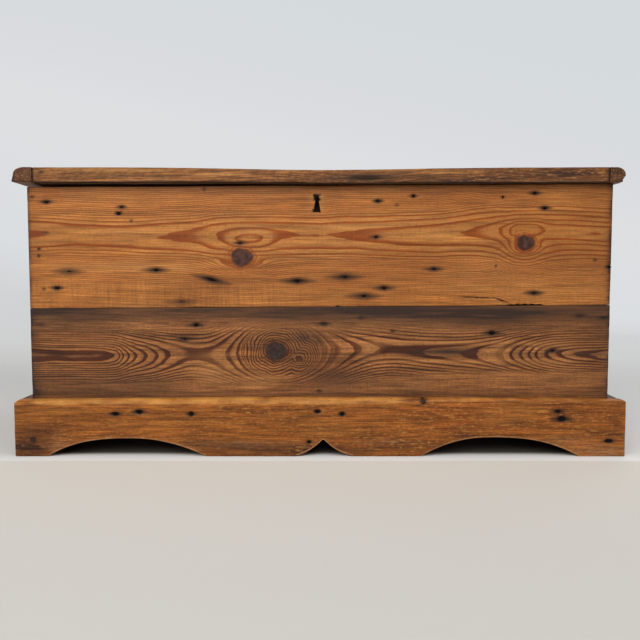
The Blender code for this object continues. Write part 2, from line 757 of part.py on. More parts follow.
def lock_housing(front_board):
    """Mortise for the lock's case, rebate for its selvedge, and the keyhole, in the upper front board."""
    half_case = LOCK_CASE_WIDTH / 2 + FIT_GAP
    half_plate = LOCK_PLATE_HALF + FIT_GAP
    above = CARCASS_TOP + CUT_OVERRUN
    inside = FRONT_INNER_Y + CUT_OVERRUN
    cut(
        front_board,
        tool_box(
            "lock_mortise",
            (LOCK_X - half_case, FRONT_INNER_Y - LOCK_CASE_DEPTH - FIT_GAP, LOCK_CASE_LOW - FIT_GAP),
            (LOCK_X + half_case, inside, above),
        ),
        tool_box(
            "lock_rebate",
            (LOCK_X - half_plate, FRONT_INNER_Y - LOCK_SELVEDGE_WIDTH - FIT_GAP, SELVEDGE_UNDER - FIT_GAP),
            (LOCK_X + half_plate, inside, above),
        ),
        keyhole_cutter("keyhole_cut", FRONT_Y),
    )


def lock_plate(root, iron):
    """Back plate on the inside of the front board, bent over its top edge as a selvedge with two slots."""
    left, right = LOCK_X - LOCK_PLATE_HALF, LOCK_X + LOCK_PLATE_HALF
    back = PLATE_FACE_Y + LOCK_METAL
    low, high = (left, PLATE_FACE_Y, LOCK_PLATE_LOW), (right, back, SELVEDGE_TOP)
    plate = box("lock_plate", low, high, iron, root)
    selvedge = tool_box(
        "lock_selvedge",
        (left, FRONT_INNER_Y - LOCK_SELVEDGE_WIDTH, SELVEDGE_UNDER),
        (right, back, SELVEDGE_TOP),
    )
    join(plate, selvedge)
    slot_half = LUG_THICKNESS / 2 + LUG_SLOT_CLEARANCE
    slot_depth = LUG_WIDTH / 2 + LUG_SLOT_CLEARANCE
    for number, lug_x in enumerate(LUG_XS, start=1):
        slot = tool_box(
            f"lug_slot_{number}",
            (lug_x - slot_half, BOLT_Y - slot_depth, SELVEDGE_UNDER - CUT_OVERRUN),
            (lug_x + slot_half, BOLT_Y + slot_depth, SELVEDGE_TOP + CUT_OVERRUN),
        )
        cut(plate, slot)
    return plate


def lock_case(root, iron):
    """Shallow iron tray, open towards the plate and at the top, with ledges that carry the bolt."""
    half = LOCK_CASE_WIDTH / 2
    low, high = LOCK_CASE_LOW, LOCK_CASE_TOP
    front = FRONT_INNER_Y - LOCK_CASE_DEPTH
    case = box("lock_case", (LOCK_X - half, front, low), (LOCK_X + half, FRONT_INNER_Y, high), iron, root)
    hollow_half = half - LOCK_CASE_WALL
    hollow = tool_box(
        "lock_case_hollow",
        (LOCK_X - hollow_half, front + LOCK_CASE_WALL, low + LOCK_CASE_WALL),
        (LOCK_X + hollow_half, FRONT_INNER_Y + CUT_OVERRUN, high + CUT_OVERRUN),
    )
    cut(case, hollow)
    ledge_top = BOLT_BAR_LOW - FIT_GAP
    ledge_back = BOLT_Y + BOLT_THICKNESS / 2
    for side, outer in (("left", LOCK_X - half), ("right", LOCK_X + half)):
        inner = outer + (LOCK_CASE_WALL + BOLT_GUIDE_LENGTH) * (1 if side == "left" else -1)
        start_x, stop_x = sorted((outer, inner))
        ledge = tool_box(
            f"bolt_guide_{side}",
            (start_x, front, ledge_top - BOLT_GUIDE_HEIGHT),
            (stop_x, ledge_back, ledge_top),
        )
        join(case, ledge)
    return cut(case, keyhole_cutter("case_keyhole_cut", front))


def lock_bolt(bolt_frame, iron):
    """Bar with a notch for the key and two hooks that all point to the right."""
    near, far = BOLT_Y - BOLT_THICKNESS / 2, BOLT_Y + BOLT_THICKNESS / 2
    low, high = (BOLT_BAR_LEFT, near, BOLT_BAR_LOW), (BOLT_BAR_RIGHT, far, BOLT_BAR_TOP)
    bolt = box("lock_bolt", low, high, iron, bolt_frame)
    hook_low, hook_high = HOOK_Z - HOOK_HEIGHT / 2, HOOK_Z + HOOK_HEIGHT / 2
    for number, lug_x in enumerate(LUG_XS, start=1):
        post_left, post_right = hook_post(lug_x)
        post_foot = BOLT_BAR_TOP - BOLT_BAR_HEIGHT / 2
        post = tool_box(f"hook_post_{number}", (post_left, near, post_foot), (post_right, far, hook_high))
        hook = tool_box(f"hook_{number}", (post_left, near, hook_low), (hook_tip(lug_x), far, hook_high))
        join(bolt, post, hook)
    talon_half = BOLT_TALON_WIDTH / 2
    talon = tool_box(
        "bolt_talon",
        (LOCK_X - talon_half, near - CUT_OVERRUN, BOLT_BAR_LOW - CUT_OVERRUN),
        (LOCK_X + talon_half, far + CUT_OVERRUN, BOLT_BAR_LOW + BOLT_TALON_DEPTH),
    )
    return cut(bolt, talon)


def lock_key_pin(root, iron):
    """Round pin that a hollow key turns on."""
    middle = (LOCK_X, FRONT_INNER_Y - KEY_PIN_LENGTH / 2, KEY_PIN_Z)
    rod("lock_key_pin", KEY_PIN_RADIUS, middle, KEY_PIN_LENGTH, iron, root, turn=ALONG_Y)


def lock_ward(root, iron):
    """Part of a ring round the key pin, open at the top where the bolt runs."""
    inner, outer = WARD_RADIUS - WARD_THICKNESS, WARD_RADIUS
    angles = [
        math.radians(WARD_START_DEG + WARD_SWEEP_DEG * i / WARD_STEPS) for i in range(WARD_STEPS + 1)
    ]
    outline = [(LOCK_X + outer * math.cos(a), KEY_PIN_Z + outer * math.sin(a)) for a in angles]
    outline += [(LOCK_X + inner * math.cos(a), KEY_PIN_Z + inner * math.sin(a)) for a in reversed(angles)]
    slab("lock_ward", outline, FRONT_INNER_Y - WARD_HEIGHT, FRONT_INNER_Y, "Y", iron, root)


def lock_spring(root, steel):
    """Bent wire between the selvedge and the bolt's bar: half of an ellipse that hangs down."""
    top = SELVEDGE_UNDER - FIT_GAP - BOLT_SPRING_RADIUS
    depth = top - (BOLT_BAR_TOP + FIT_GAP + BOLT_SPRING_RADIUS)
    side_gap = BOLT_SPRING_SIDE_GAP + BOLT_SPRING_RADIUS
    left = LUG_XS[0] + LUG_THICKNESS / 2 + HOOK_PROUD + side_gap
    right = hook_post(LUG_XS[1])[0] - side_gap
    curve = bpy.data.curves.new("lock_spring", "CURVE")
    curve.dimensions = "3D"
    curve.bevel_depth = BOLT_SPRING_RADIUS
    curve.bevel_resolution = 2
    curve.use_fill_caps = True
    spline = curve.splines.new("POLY")
    spline.points.add(BOLT_SPRING_STEPS)
    for i, point in enumerate(spline.points):
        angle = math.pi * i / BOLT_SPRING_STEPS
        along = -math.cos(angle) * (right - left) / 2
        point.co = (along, 0, -math.sin(angle) * depth, 1)
    obj = bpy.data.objects.new("lock_spring", curve)
    bpy.context.scene.collection.objects.link(obj)
    obj.location = ((left + right) / 2, BOLT_Y, top)
    adopt(obj, "lock_spring", steel, root, PARTS)


def lock_screws(root, iron, plate, front_board):
    sizes = (LOCK_SCREW_HEAD_RADIUS, LOCK_SCREW_SHANK_RADIUS, LOCK_SCREW_LENGTH)
    out = LOCK_PLATE_HALF - LOCK_SCREW_INSET
    high = SELVEDGE_TOP - LOCK_SCREW_DROP
    low = LOCK_PLATE_LOW + LOCK_SCREW_INSET
    head_y = PLATE_FACE_Y + LOCK_METAL - SCREW_HEAD_SINK
    number = 0
    for x in (LOCK_X - out, LOCK_X + out):
        for z in (low, high):
            number += 1
            place, turn = (x, head_y, z), (-math.pi / 2, 0, 0)
            wood_screw(f"lock_screw_{number}", place, turn, sizes, iron, root, plate, front_board)


def link_plate(pivot, iron, lid_board):
    """Plate let into the lid's underside, with two pierced lugs that drop through the lock's selvedge."""
    half_length, half_width = LOCK_PLATE_HALF - LINK_PLATE_SETBACK, LINK_PLATE_WIDTH / 2
    top = LID_UNDERSIDE + LOCK_METAL
    plate = box(
        "lid_link_plate",
        (LOCK_X - half_length, BOLT_Y - half_width, LID_UNDERSIDE),
        (LOCK_X + half_length, BOLT_Y + half_width, top),
        iron,
        pivot,
    )
    recess = tool_box(
        "link_plate_recess",
        (LOCK_X - half_length - FIT_GAP, BOLT_Y - half_width - FIT_GAP, LID_UNDERSIDE - CUT_OVERRUN),
        (LOCK_X + half_length + FIT_GAP, BOLT_Y + half_width + FIT_GAP, top + FIT_GAP),
    )
    cut(lid_board, recess)
    for number, lug_x in enumerate(LUG_XS, start=1):
        lug = tool_box(
            f"lug_{number}",
            (lug_x - LUG_THICKNESS / 2, BOLT_Y - LUG_WIDTH / 2, LUG_LOW),
            (lug_x + LUG_THICKNESS / 2, BOLT_Y + LUG_WIDTH / 2, LID_UNDERSIDE + LOCK_METAL / 2),
        )
        join(plate, lug)
        hole = tool_box(
            f"lug_hole_{number}",
            (lug_x - LUG_THICKNESS, BOLT_Y - LUG_HOLE_WIDTH / 2, HOOK_Z - LUG_HOLE_HEIGHT / 2),
            (lug_x + LUG_THICKNESS, BOLT_Y + LUG_HOLE_WIDTH / 2, HOOK_Z + LUG_HOLE_HEIGHT / 2),
        )
        cut(plate, hole)
    sizes = (LOCK_SCREW_HEAD_RADIUS, LOCK_SCREW_SHANK_RADIUS, LOCK_SCREW_LENGTH)
    out = half_length - LINK_SCREW_INSET
    for number, x in enumerate((LOCK_X - out, LOCK_X + out), start=1):
        place, turn = (x, BOLT_Y, LID_UNDERSIDE + SCREW_HEAD_SINK), (math.pi, 0, 0)
        wood_screw(f"link_plate_screw_{number}", place, turn, sizes, iron, pivot, plate, lid_board)


def build_chest():
    root = make_empty("carcass_frame", (0, 0, 0))
    pivot = make_empty("lid_pivot", (0, HINGE_Y, HINGE_Z))
    bolt_frame = make_empty("bolt_slide", (LOCK_X, BOLT_Y, BOLT_BAR_LOW))
    bpy.context.view_layer.update()

    sound_pine = make_material("waxed_old_pine", "A5713C", 0.5)
    dark_pine = make_material("dark_weathered_pine", "6E472A", 0.55)
    plinth_pine = make_material("scuffed_plinth_pine", "9A6029", 0.5)
    lid_pine = make_material("worn_lid_pine", "7F542F", 0.5)
    raw_pine = make_material("raw_inner_pine", "A88458", 0.75)
    iron = make_material("aged_iron", "3A3330", 0.6, 0.85)
    steel = make_material("spring_steel", "77746F", 0.4, 0.9)

    front_upper, _ = front_boards(root, sound_pine, dark_pine)
    back_upper, _ = back_boards(root, raw_pine)
    side_boards(root, sound_pine, "left", (LEFT_X, LEFT_X + BOARD_THICKNESS), front_top_at(LEFT_X))
    side_boards(root, sound_pine, "right", (RIGHT_X - BOARD_THICKNESS, RIGHT_X), front_top_at(RIGHT_X))
    bottom_boards(root, raw_pine)
    plinth(root, plinth_pine)
    plinth_blocks(root, raw_pine)
    boards = lid_boards(pivot, lid_pine)
    lid_cleats(pivot, lid_pine)
    for side, centre_x in (("left", LEFT_X + HINGE_INSET), ("right", RIGHT_X - HINGE_INSET)):
        hinge(side, centre_x, root, pivot, back_upper, boards[-1], iron)
    lock_housing(front_upper)
    plate = lock_plate(root, iron)
    lock_case(root, iron)
    lock_bolt(bolt_frame, iron)
    lock_key_pin(root, iron)
    lock_ward(root, iron)
    lock_spring(root, steel)
    lock_screws(root, iron, plate, front_upper)
    link_plate(pivot, iron, boards[0])


clear_scene()
PARTS = new_collection("blanket_chest")
CUTTERS = new_collection("cutters")
build_chest()
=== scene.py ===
"""Old pine blanket chest: weathered boards, nails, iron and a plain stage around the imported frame."""

import math

import bmesh
import bpy
import numpy as np
from bpy.props import FloatProperty, FloatVectorProperty, PointerProperty
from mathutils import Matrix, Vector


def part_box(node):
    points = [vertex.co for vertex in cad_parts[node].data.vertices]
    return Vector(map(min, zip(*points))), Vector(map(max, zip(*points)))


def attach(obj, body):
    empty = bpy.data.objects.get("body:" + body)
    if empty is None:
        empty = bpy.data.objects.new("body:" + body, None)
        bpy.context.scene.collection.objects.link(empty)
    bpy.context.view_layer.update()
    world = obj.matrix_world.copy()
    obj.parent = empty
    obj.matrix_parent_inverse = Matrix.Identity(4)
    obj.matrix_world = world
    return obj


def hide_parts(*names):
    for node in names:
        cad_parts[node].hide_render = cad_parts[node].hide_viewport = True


bl_info = {
    "name": "Pine Blanket Chest",
    "version": (1, 0, 0),
    "blender": (4, 5, 0),
    "location": "View3D > Sidebar > Chest",
    "description": "Dresses the jointed frame of an old pine blanket chest with worn boards, nails and iron",
    "category": "Object",
}

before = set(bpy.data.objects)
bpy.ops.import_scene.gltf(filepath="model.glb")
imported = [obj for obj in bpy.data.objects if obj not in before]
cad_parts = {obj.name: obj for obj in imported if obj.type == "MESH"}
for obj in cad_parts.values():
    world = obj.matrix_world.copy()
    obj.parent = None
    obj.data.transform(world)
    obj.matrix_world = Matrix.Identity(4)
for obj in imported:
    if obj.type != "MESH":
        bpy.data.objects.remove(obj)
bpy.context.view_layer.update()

MM = 0.001

# The camera that the pixel coordinates below belong to: a 640 pixel square, a 36 mm lens on a 36 mm sensor
IMAGE_SIDE = 640.0
LENS = 36.0
SENSOR = 36.0
PITCH_DEG = 3.5
CAMERA_PLACE = (0.0, -1180.75 * MM, 264.6 * MM)

CARCASS_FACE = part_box("front_upper_board")[0].y
PLINTH_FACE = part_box("plinth_front")[0].y
LID_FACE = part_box("lid_board_1")[0].y
HALF_LENGTH = 460.0  # of the plinth, in mm
FRONT_RISE = 5.2 * MM  # of the front's joint and top edge, from left to right
MARK_DEPTH = 4.0  # mm below a board's face, down to which its nail holes are drawn


def linear(code):
    """An sRGB hex colour as linear red, green, blue and alpha."""
    srgb = [int(code[i : i + 2], 16) / 255 for i in (1, 3, 5)]
    return (*[c / 12.92 if c <= 0.04045 else ((c + 0.055) / 1.055) ** 2.4 for c in srgb], 1.0)


def on_face(px, py, face):
    """Where a pixel's ray meets the upright plane y = face: x and z in metres, from the pinhole camera's turn."""
    sine, cosine = math.sin(math.radians(PITCH_DEG)), math.cos(math.radians(PITCH_DEG))
    away = face - CAMERA_PLACE[1]
    focal = IMAGE_SIDE * LENS / SENSOR
    t = (IMAGE_SIDE / 2 - np.asarray(py, float)) / focal
    height = away * (t * cosine - sine) / (cosine + t * sine)
    x = (np.asarray(px, float) - IMAGE_SIDE / 2) / focal * (away * cosine - height * sine)
    return x, CAMERA_PLACE[2] + height


# Curves, noise and grids


def smooth_curve(x, stations, values):
    """Cubic Hermite curve through the stations, with harmonic mean slopes, so that it never overshoots them."""
    xs, ys = np.asarray(stations, float), np.asarray(values, float)
    step = np.diff(xs)
    slope = np.diff(ys) / step
    product = slope[1:] * slope[:-1]
    inner = np.where(product > 0, 2 * product / (slope[1:] + slope[:-1] + 1e-12), 0)
    m = np.concatenate([[slope[0]], inner, [slope[-1]]])
    i = np.clip(np.searchsorted(xs, x) - 1, 0, len(step) - 1)
    t = (np.clip(x, xs[0], xs[-1]) - xs[i]) / step[i]
    h = step[i]
    start = (2 * t**3 - 3 * t**2 + 1) * ys[i] + (t**3 - 2 * t**2 + t) * h * m[i]
    return start + (3 * t**2 - 2 * t**3) * ys[i + 1] + (t**3 - t**2) * h * m[i + 1]


def wave_noise(u, v, seed, size_u, size_v, octaves=3):
    """Sum of sine waves in seeded directions, each octave twice as fine and half as high, about -1 to 1."""
    rng = np.random.default_rng(seed)
    total = np.zeros_like(u)
    for octave in range(octaves):
        for _ in range(6):
            a, b = rng.uniform(-1, 1, 2)
            phase = rng.uniform(0, 2 * math.pi)
            total += np.sin(2 * math.pi * (a * u / size_u + b * v / size_v) * 2**octave + phase) / 2**octave
    return total / 4


def grid_lines(low, high, round_low, round_high, spacing):
    """Stations from low to high: at 45, 30, 15 and 0 degrees of the round at each end, and evenly between them."""
    bend = 1 - np.tan(np.radians((45, 30, 15)))
    start, stop = low + round_low, high - round_high
    count = max(2, int(math.ceil((stop - start) / spacing)) + 1)
    return np.concatenate(
        [low + round_low * bend, np.linspace(start, stop, count), high - round_high * bend[::-1]]
    )


def box_lattice(xs, ys, zs):
    """Surface of a box as one lattice: each grid point of its six sides once, and the quads, facing outwards."""
    shape = (len(xs), len(ys), len(zs))
    ids = np.arange(int(np.prod(shape))).reshape(shape)
    quads = []
    for axis in range(3):
        for end in (0, -1):
            side = np.take(ids, end, axis=axis)
            quad = np.stack([side[:-1, :-1], side[1:, :-1], side[1:, 1:], side[:-1, 1:]], -1).reshape(-1, 4)
            if (end == -1) == (axis == 1):
                quad = quad[:, ::-1]
            quads.append(quad)
    quads = np.concatenate(quads)
    used, compact = np.unique(quads, return_inverse=True)
    i, j, k = np.unravel_index(used, shape)
    return np.stack([xs[i], ys[j], zs[k]], -1), compact.reshape(quads.shape)


def ease_edges(points, low, high, round_low, round_high):
    """Box to eased box: each point's offset from the shrunken core is brought onto an ellipsoid of the radii."""
    core = np.clip(points, low + round_low, high - round_high)
    away = points - core
    share = away / np.where(away < 0, round_low, round_high)
    length = np.linalg.norm(share, axis=1, keepdims=True)
    return core + away / np.maximum(length, 1e-9)


# Wood: ring numbers in three dimensions


class Log:
    """Where a board lay in its tree. Lengths in mm: along the grain, across the face, and inwards from the face."""

    def __init__(self, axis, depth, radii, knots=(), swells=(), seed=1, eye=None, waver=0.14):
        self.axis = axis
        self.depth = depth
        self.radii = radii
        self.knots = knots
        self.swells = swells
        self.seed = seed
        self.eye = eye
        self.waver = waver


def ring_number(u, v, w, log):
    """Ring number = ring table at the distance from the pith, hypot(across - axis, depth + inwards). Grain flows
    round each knot as a stream round a cylinder: v - v r2 / rho2, above the knot by a share of that. A swell takes
    a Gaussian off the distance."""
    bent = v.copy()
    for knot_u, knot_v, radius, stretch, above in log.knots:
        du, dv = u - knot_u, v - knot_v
        rho2 = np.maximum((du / stretch) ** 2 + dv**2, radius**2)
        side = above + (1 - above) / (1 + np.exp(dv / (0.2 * radius)))
        bent -= side * dv * radius**2 / rho2 * np.exp(-((du / (stretch * radius * 4.5)) ** 2))
    axis = smooth_curve(u, *log.axis)
    depth = smooth_curve(u, *log.depth)
    distance = np.hypot(bent - axis, depth + w)
    for swell_u, swell_v, size, half_u, half_v in log.swells:
        distance -= size * np.exp(-(((u - swell_u) / half_u) ** 2) - ((v - swell_v) / half_v) ** 2)
    ring = smooth_curve(distance, log.radii, np.arange(len(log.radii), dtype=float))
    if log.eye:
        ring = eye_rings(u, v, ring, log.eye)
    return ring + log.waver * wave_noise(u, v, log.seed, 160, 26)


def eye_rings(u, v, ring, eye):
    """Inside an ellipse the rings run round a knot and round a swirl beside it, whichever is nearer, with a wobble."""
    centre, knot, swirl, half_u, half_v, lead, spacing = eye
    wobble_u, wobble_v = 2.2 * wave_noise(u, v, 51, 34, 34), 2.2 * wave_noise(u, v, 52, 34, 34)
    to_knot = np.hypot((u - knot[0] + wobble_u) / 1.14, v - knot[1] + wobble_v)
    to_swirl = np.maximum(np.hypot(u - swirl[0] - wobble_u, v - swirl[1] + wobble_v), 3.0 * PIXEL) + lead
    inner = np.minimum(to_knot, to_swirl) / spacing
    rho = np.hypot((u - centre[0]) / half_u, (v - centre[1]) / half_v)
    outside = np.clip((rho - 0.93) / 0.1, 0, 1)
    return ring * outside + inner * (1 - outside)


def sawn_log(seed, length, width, axis_share, pith_depth, knots=(), start=0.0):
    """A board of this length and width from a plausible tree, with seeded wander of its axis and pith."""
    rng = np.random.default_rng(seed)
    stations = np.linspace(-0.04, 1.04, 8) * length + start
    axis = width * (axis_share + rng.normal(0, 0.035, 8))
    depth = pith_depth + rng.normal(0, 1.9, 8)
    radii = np.cumsum(rng.uniform(2.1, 3.7, 110))
    placed = tuple((a * length + start, b * width, r, 1.9, 1.0) for a, b, r in knots)
    swells = tuple((u, v, r * 0.4, r * 2.1, r * 1.2) for u, v, r, _, _ in placed)
    return Log((stations, axis), (stations, depth), radii, placed, swells, seed)


def face_rows(rows, face):
    """Rows that start with a pixel's x and y, with these turned to mm on the plane y = face."""
    table = np.array(rows, float)
    x, z = on_face(table[:, 0], table[:, 1], face)
    table[:, 0], table[:, 1] = x / MM, z / MM
    return table


PIXEL = 1.5  # mm on the carcass front, for lengths that were read in pixels

# The two front boards' logs, read off the photo: how high the pith's axis runs, in pixels, how far it lies behind
# the face, in mm, and the radius of each year's ring, in mm
UPPER_AXIS = (
    (27, 234.0), (60, 234.6), (150, 236.8), (213, 236.5), (240, 236.5), (280, 236.0), (317, 236.0), (345, 235.2),
    (385, 235.8), (430, 235.8), (460, 233.5), (480, 232.3), (497, 232.5), (508, 234.6), (525, 236.2), (547, 233.9),
    (570, 233.0), (614, 234.5),
)
UPPER_DEPTH = (
    (27, 62.7), (40, 62.95), (52, 63.3), (70, 63.8), (100, 64.0), (125, 63.8), (145, 63.3), (155, 63.05),
    (165, 62.85), (175, 62.65), (185, 62.4), (200, 61.6), (213, 60.15), (228, 59.5), (243, 59.25), (265, 59.3),
    (282, 59.5), (297, 59.7), (313, 59.9), (320, 59.92), (330, 59.78), (345, 59.45), (355, 59.35), (370, 59.0),
    (385, 58.7), (400, 58.27), (430, 57.6), (460, 57.0), (480, 56.2), (497, 55.1), (508, 53.8), (516, 52.6),
    (525, 52.3), (534, 52.6), (547, 53.8), (565, 54.0), (590, 53.9), (614, 53.8),
)
UPPER_RADII = (
    41.0, 44.0, 47.0, 49.0, 50.8, 52.45, 53.97, 55.26, 57.0, 60.0, 63.2, 66.3, 68.1, 70.0, 71.4, 72.9, 74.4, 75.9,
    77.6, 79.5, 81.3, 83.4, 85.4, 87.4, 89.5, 91.7, 93.9, 96.2, 98.6, 101.1, 103.7, 106.4, 109.5, 113.0, 117.0, 121.0,
    126.0, 131.0, 136.0,
)
LOWER_AXIS = (
    (30, 355.2), (115, 356.0), (150, 356.0), (190, 354.3), (225, 354.5), (276, 352.5), (325, 352.0), (384, 348.5),
    (430, 352.0), (472, 353.6), (540, 354.2), (612, 355.0),
)
LOWER_DEPTH = (
    (30, 49.6), (60, 50.0), (100, 50.2), (116, 50.9), (123, 52.3), (132, 54.2), (151, 56.8), (171, 59.9), (192, 62.4),
    (215, 63.6), (300, 64.0), (350, 64.2), (396, 64.4), (440, 63.6), (472, 62.4), (490, 61.2), (502, 59.9),
    (514, 57.8), (527, 55.6), (541, 53.3), (556, 51.9), (580, 50.9), (612, 50.4),
)
LOWER_RADII = (
    30.0, 33.5, 37.0, 40.0, 44.0, 46.5, 48.6, 50.9, 51.8, 52.7, 54.0, 55.2, 56.6, 58.2, 59.9, 62.5, 64.1, 65.8, 67.5,
    69.2, 71.0, 72.8, 74.6, 76.5, 78.4, 80.3, 82.3, 84.4, 86.6, 89.0, 91.5, 94.0, 97.0, 100.0, 104.0, 108.0, 112.0,
    116.0, 120.0, 126.0,
)
UPPER_AXIS_Y, LOWER_AXIS_Y = 236.0, 354.0


def pixel_log(axis, depth, axis_py, radii, knots, swells, seed, eye=None):
    """A log whose axis, pith depth, knots and swells were read off the carcass front in pixels."""
    axis_mm = face_rows(axis, CARCASS_FACE)
    depth_mm = face_rows([(px, axis_py) for px, _ in depth], CARCASS_FACE)
    knots_mm = face_rows(knots, CARCASS_FACE)
    knots_mm[:, 2] *= PIXEL
    swells_mm = face_rows(swells, CARCASS_FACE)
    swells_mm[:, 3:] *= PIXEL
    axis_line, depth_line = (axis_mm[:, 0], axis_mm[:, 1]), (depth_mm[:, 0], [d for _, d in depth])
    return Log(axis_line, depth_line, radii, knots_mm.tolist(), swells_mm.tolist(), seed, eye, 0.05)


def eye_in_mm():
    """The left lens of the lower board: its middle, its knot, the swirl beside it, its half sizes, how much later
    the swirl's rings begin, and their spacing."""
    centre, knot, swirl = face_rows([(281, 352), (276, 351), (299, 358)], CARCASS_FACE)
    return centre, knot, swirl, 40.5 * PIXEL, 27.0 * PIXEL, 10.0 * PIXEL, 2.75 * PIXEL


EYE_KNOT_RADIUS = 10.4 * PIXEL
UPPER_LOG = pixel_log(
    UPPER_AXIS, UPPER_DEPTH, UPPER_AXIS_Y, UPPER_RADII,
    [(241.7, 257.5, 10.6, 2.2, 0.12), (525.5, 242.8, 9.0, 1.8, 1.0)],
    [(238, 240.5, 2.35, 14, 11.5), (249, 240.5, 1.1, 14, 11.5), (260, 240.5, 2.35, 14, 11.5)],
    3,
)
LOWER_LOG = pixel_log(
    LOWER_AXIS, LOWER_DEPTH, LOWER_AXIS_Y, LOWER_RADII,
    [(281, 352, 27.0, 1.5, 1.0)],
    [(281, 352, 12.0, 54, 36)],
    5,
    eye_in_mm(),
)

# Nail holes and iron stains read off the photo: pixel x and y, half length and half height of the hole in pixels,
# half length of the stain along the grain, strength
UPPER_MARKS = (
    (32, 197, 1.2, 1.0, 2.5, 0.6), (46, 202, 3.2, 1.5, 6, 1), (121.5, 207, 2.6, 1.1, 5, 0.9),
    (118.5, 213.5, 3.2, 1.8, 4, 0.9), (131, 221, 1.0, 0.9, 1.5, 0.8), (46, 233, 1.4, 1.0, 3, 0.6),
    (39, 249, 1.2, 1.2, 2, 0.8), (39, 256, 1.2, 1.2, 2, 0.8), (69, 271.5, 2.5, 0.9, 13, 0.8),
    (57, 288, 3.5, 1.6, 6, 1), (44, 289, 1.2, 0.9, 2, 0.6), (156, 270, 3.6, 1.6, 11, 1),
    (211, 279.5, 6.5, 1.7, 15, 1, -0.24), (182, 302, 3.5, 1.2, 14, 0.7), (240, 243, 4.5, 1.2, 6, 0.8),
    (378, 201, 3.6, 1.4, 5, 1), (413.5, 196, 2.2, 1.6, 4, 0.9), (397, 205, 1.4, 0.9, 2, 0.5),
    (376, 237, 2.0, 1.5, 6, 0.8), (297, 281, 4.2, 1.9, 14, 1), (345, 277, 3.6, 1.5, 14, 0.95),
    (384, 288, 3.2, 1.7, 9, 1), (364, 296, 3.2, 1.5, 14, 0.9), (535, 193, 3.0, 1.4, 6, 1),
    (503, 197, 1.3, 1.2, 2, 0.8), (545, 208, 2.4, 1.7, 6, 1), (434, 269, 2.4, 1.3, 8, 0.95),
    (496, 266, 1.0, 0.9, 1.5, 0.6), (595, 260, 1.2, 0.9, 2, 0.6), (610, 267, 3.0, 1.4, 5, 0.9),
    # From the keyhole's rows on, rows without a stain paint the torn keyhole and the crack near black, as their shade.
    (534, 293, 2.6, 1.4, 9, 1), (204, 189, 1.2, 2.4, 2, 0.5), (316.6, 197.2, 2.9, 3.0, 0, 1),
    (314.0, 195.3, 1.3, 1.2, 0, 0.9), (319.2, 194.6, 1.2, 1.1, 0, 0.9), (313.8, 199.6, 1.2, 1.3, 0, 0.9),
    (319.3, 199.6, 1.2, 1.4, 0, 0.9), (316.6, 193.6, 1.0, 0.9, 0, 0.7), (313.2, 210.5, 1.0, 1.8, 0, 0.9),
    (477, 297.4, 18, 0.75, 0, 0.8, -0.04), (502, 300.6, 9, 0.75, 0, 0.9, -0.38),
)
LOWER_MARKS = (
    (196, 325, 2.8, 1.9, 7, 1), (185, 339, 2.2, 1.5, 9, 0.9), (324, 324, 4.0, 1.8, 6, 0.7),
    (361, 318, 1.8, 1.0, 3, 0.6), (393, 331, 1.7, 1.0, 3, 0.7), (492, 333, 4.0, 2.1, 9, 1),
    (552.5, 350.5, 2.6, 1.4, 9, 0.9), (604, 318, 3.0, 1.2, 6, 0.6), (580, 316, 4.5, 1.4, 9, 0.5),
    (319, 391, 1.5, 1.0, 3, 0.6), (41, 325, 2.5, 1.2, 7, 0.5),
)
PLINTH_MARKS = (
    (115, 414, 4.2, 1.9, 6, 1), (139, 412, 4.2, 2.2, 7, 1), (191, 414, 3.0, 2.6, 5, 1),
    (317.5, 411.5, 3.8, 2.1, 3, 1), (342, 414, 2.8, 2.4, 4, 1), (558, 411.5, 3.6, 2.2, 7, 0.9),
    (562, 419, 4.6, 3.0, 10, 1), (309, 442, 2.6, 1.8, 3, 0.9), (609, 441, 4.6, 2.0, 5, 1),
)


STAIN_POWER = 1.3  # of the oval's outline: one is a rhomb, two an ellipse


def pixel_marks(rows, face):
    """Marks as mm rows: along, across, half sizes of the hole, half sizes of the stain, strength, slope."""
    table = face_rows([(*row, 0.0)[:7] for row in rows], face)
    stain_height = np.where(table[:, 4] > 0, 2.2 + 0.18 * table[:, 4], 0)
    hole = table[:, 2:4].T * PIXEL
    return np.stack([*table[:, :2].T, *hole, table[:, 4] * 1.5 * PIXEL, stain_height * PIXEL, *table[:, 5:].T], -1)


def scattered_marks(seed, count, length, width):
    """Old holes and stains over a board, seeded, in the same columns as pixel_marks."""
    rng = np.random.default_rng(seed)
    hole = rng.uniform(1.4, 3.4, count)
    stain = hole * rng.uniform(1.6, 4.5, count)
    along, across = rng.uniform(0.03, 0.97, count) * length, rng.uniform(0.08, 0.92, count) * width
    height = hole * rng.uniform(0.5, 0.9, count)
    strength = rng.uniform(0.5, 1.0, count)
    return np.stack([along, across, hole, height, stain, 1.6 + 0.24 * stain, strength, np.zeros(count)], -1)


def blobs(u, v, rows):
    """Sum of Gaussians: each row is its place, its two half sizes and its height."""
    total = np.zeros_like(u)
    for centre_u, centre_v, half_u, half_v, height in rows:
        total += height * np.exp(-(((u - centre_u) / half_u) ** 2) - ((v - centre_v) / half_v) ** 2)
    return total


def hole_depth(u, v, marks):
    """Share of each nail hole's depth: one minus the squared distance in an ellipse, clipped at nothing."""
    total = np.zeros_like(u)
    for place_u, place_v, half_u, half_v, _, _, strength, slope in marks:
        if half_u > 0:
            along, aside = u - place_u, v - place_v - slope * (u - place_u)
            share = 1 - (along / (half_u * 1.25)) ** 2 - (aside / (half_v * 1.25)) ** 2
            total = np.maximum(total, np.clip(share * 1.6, 0, 1) * strength)
    return total


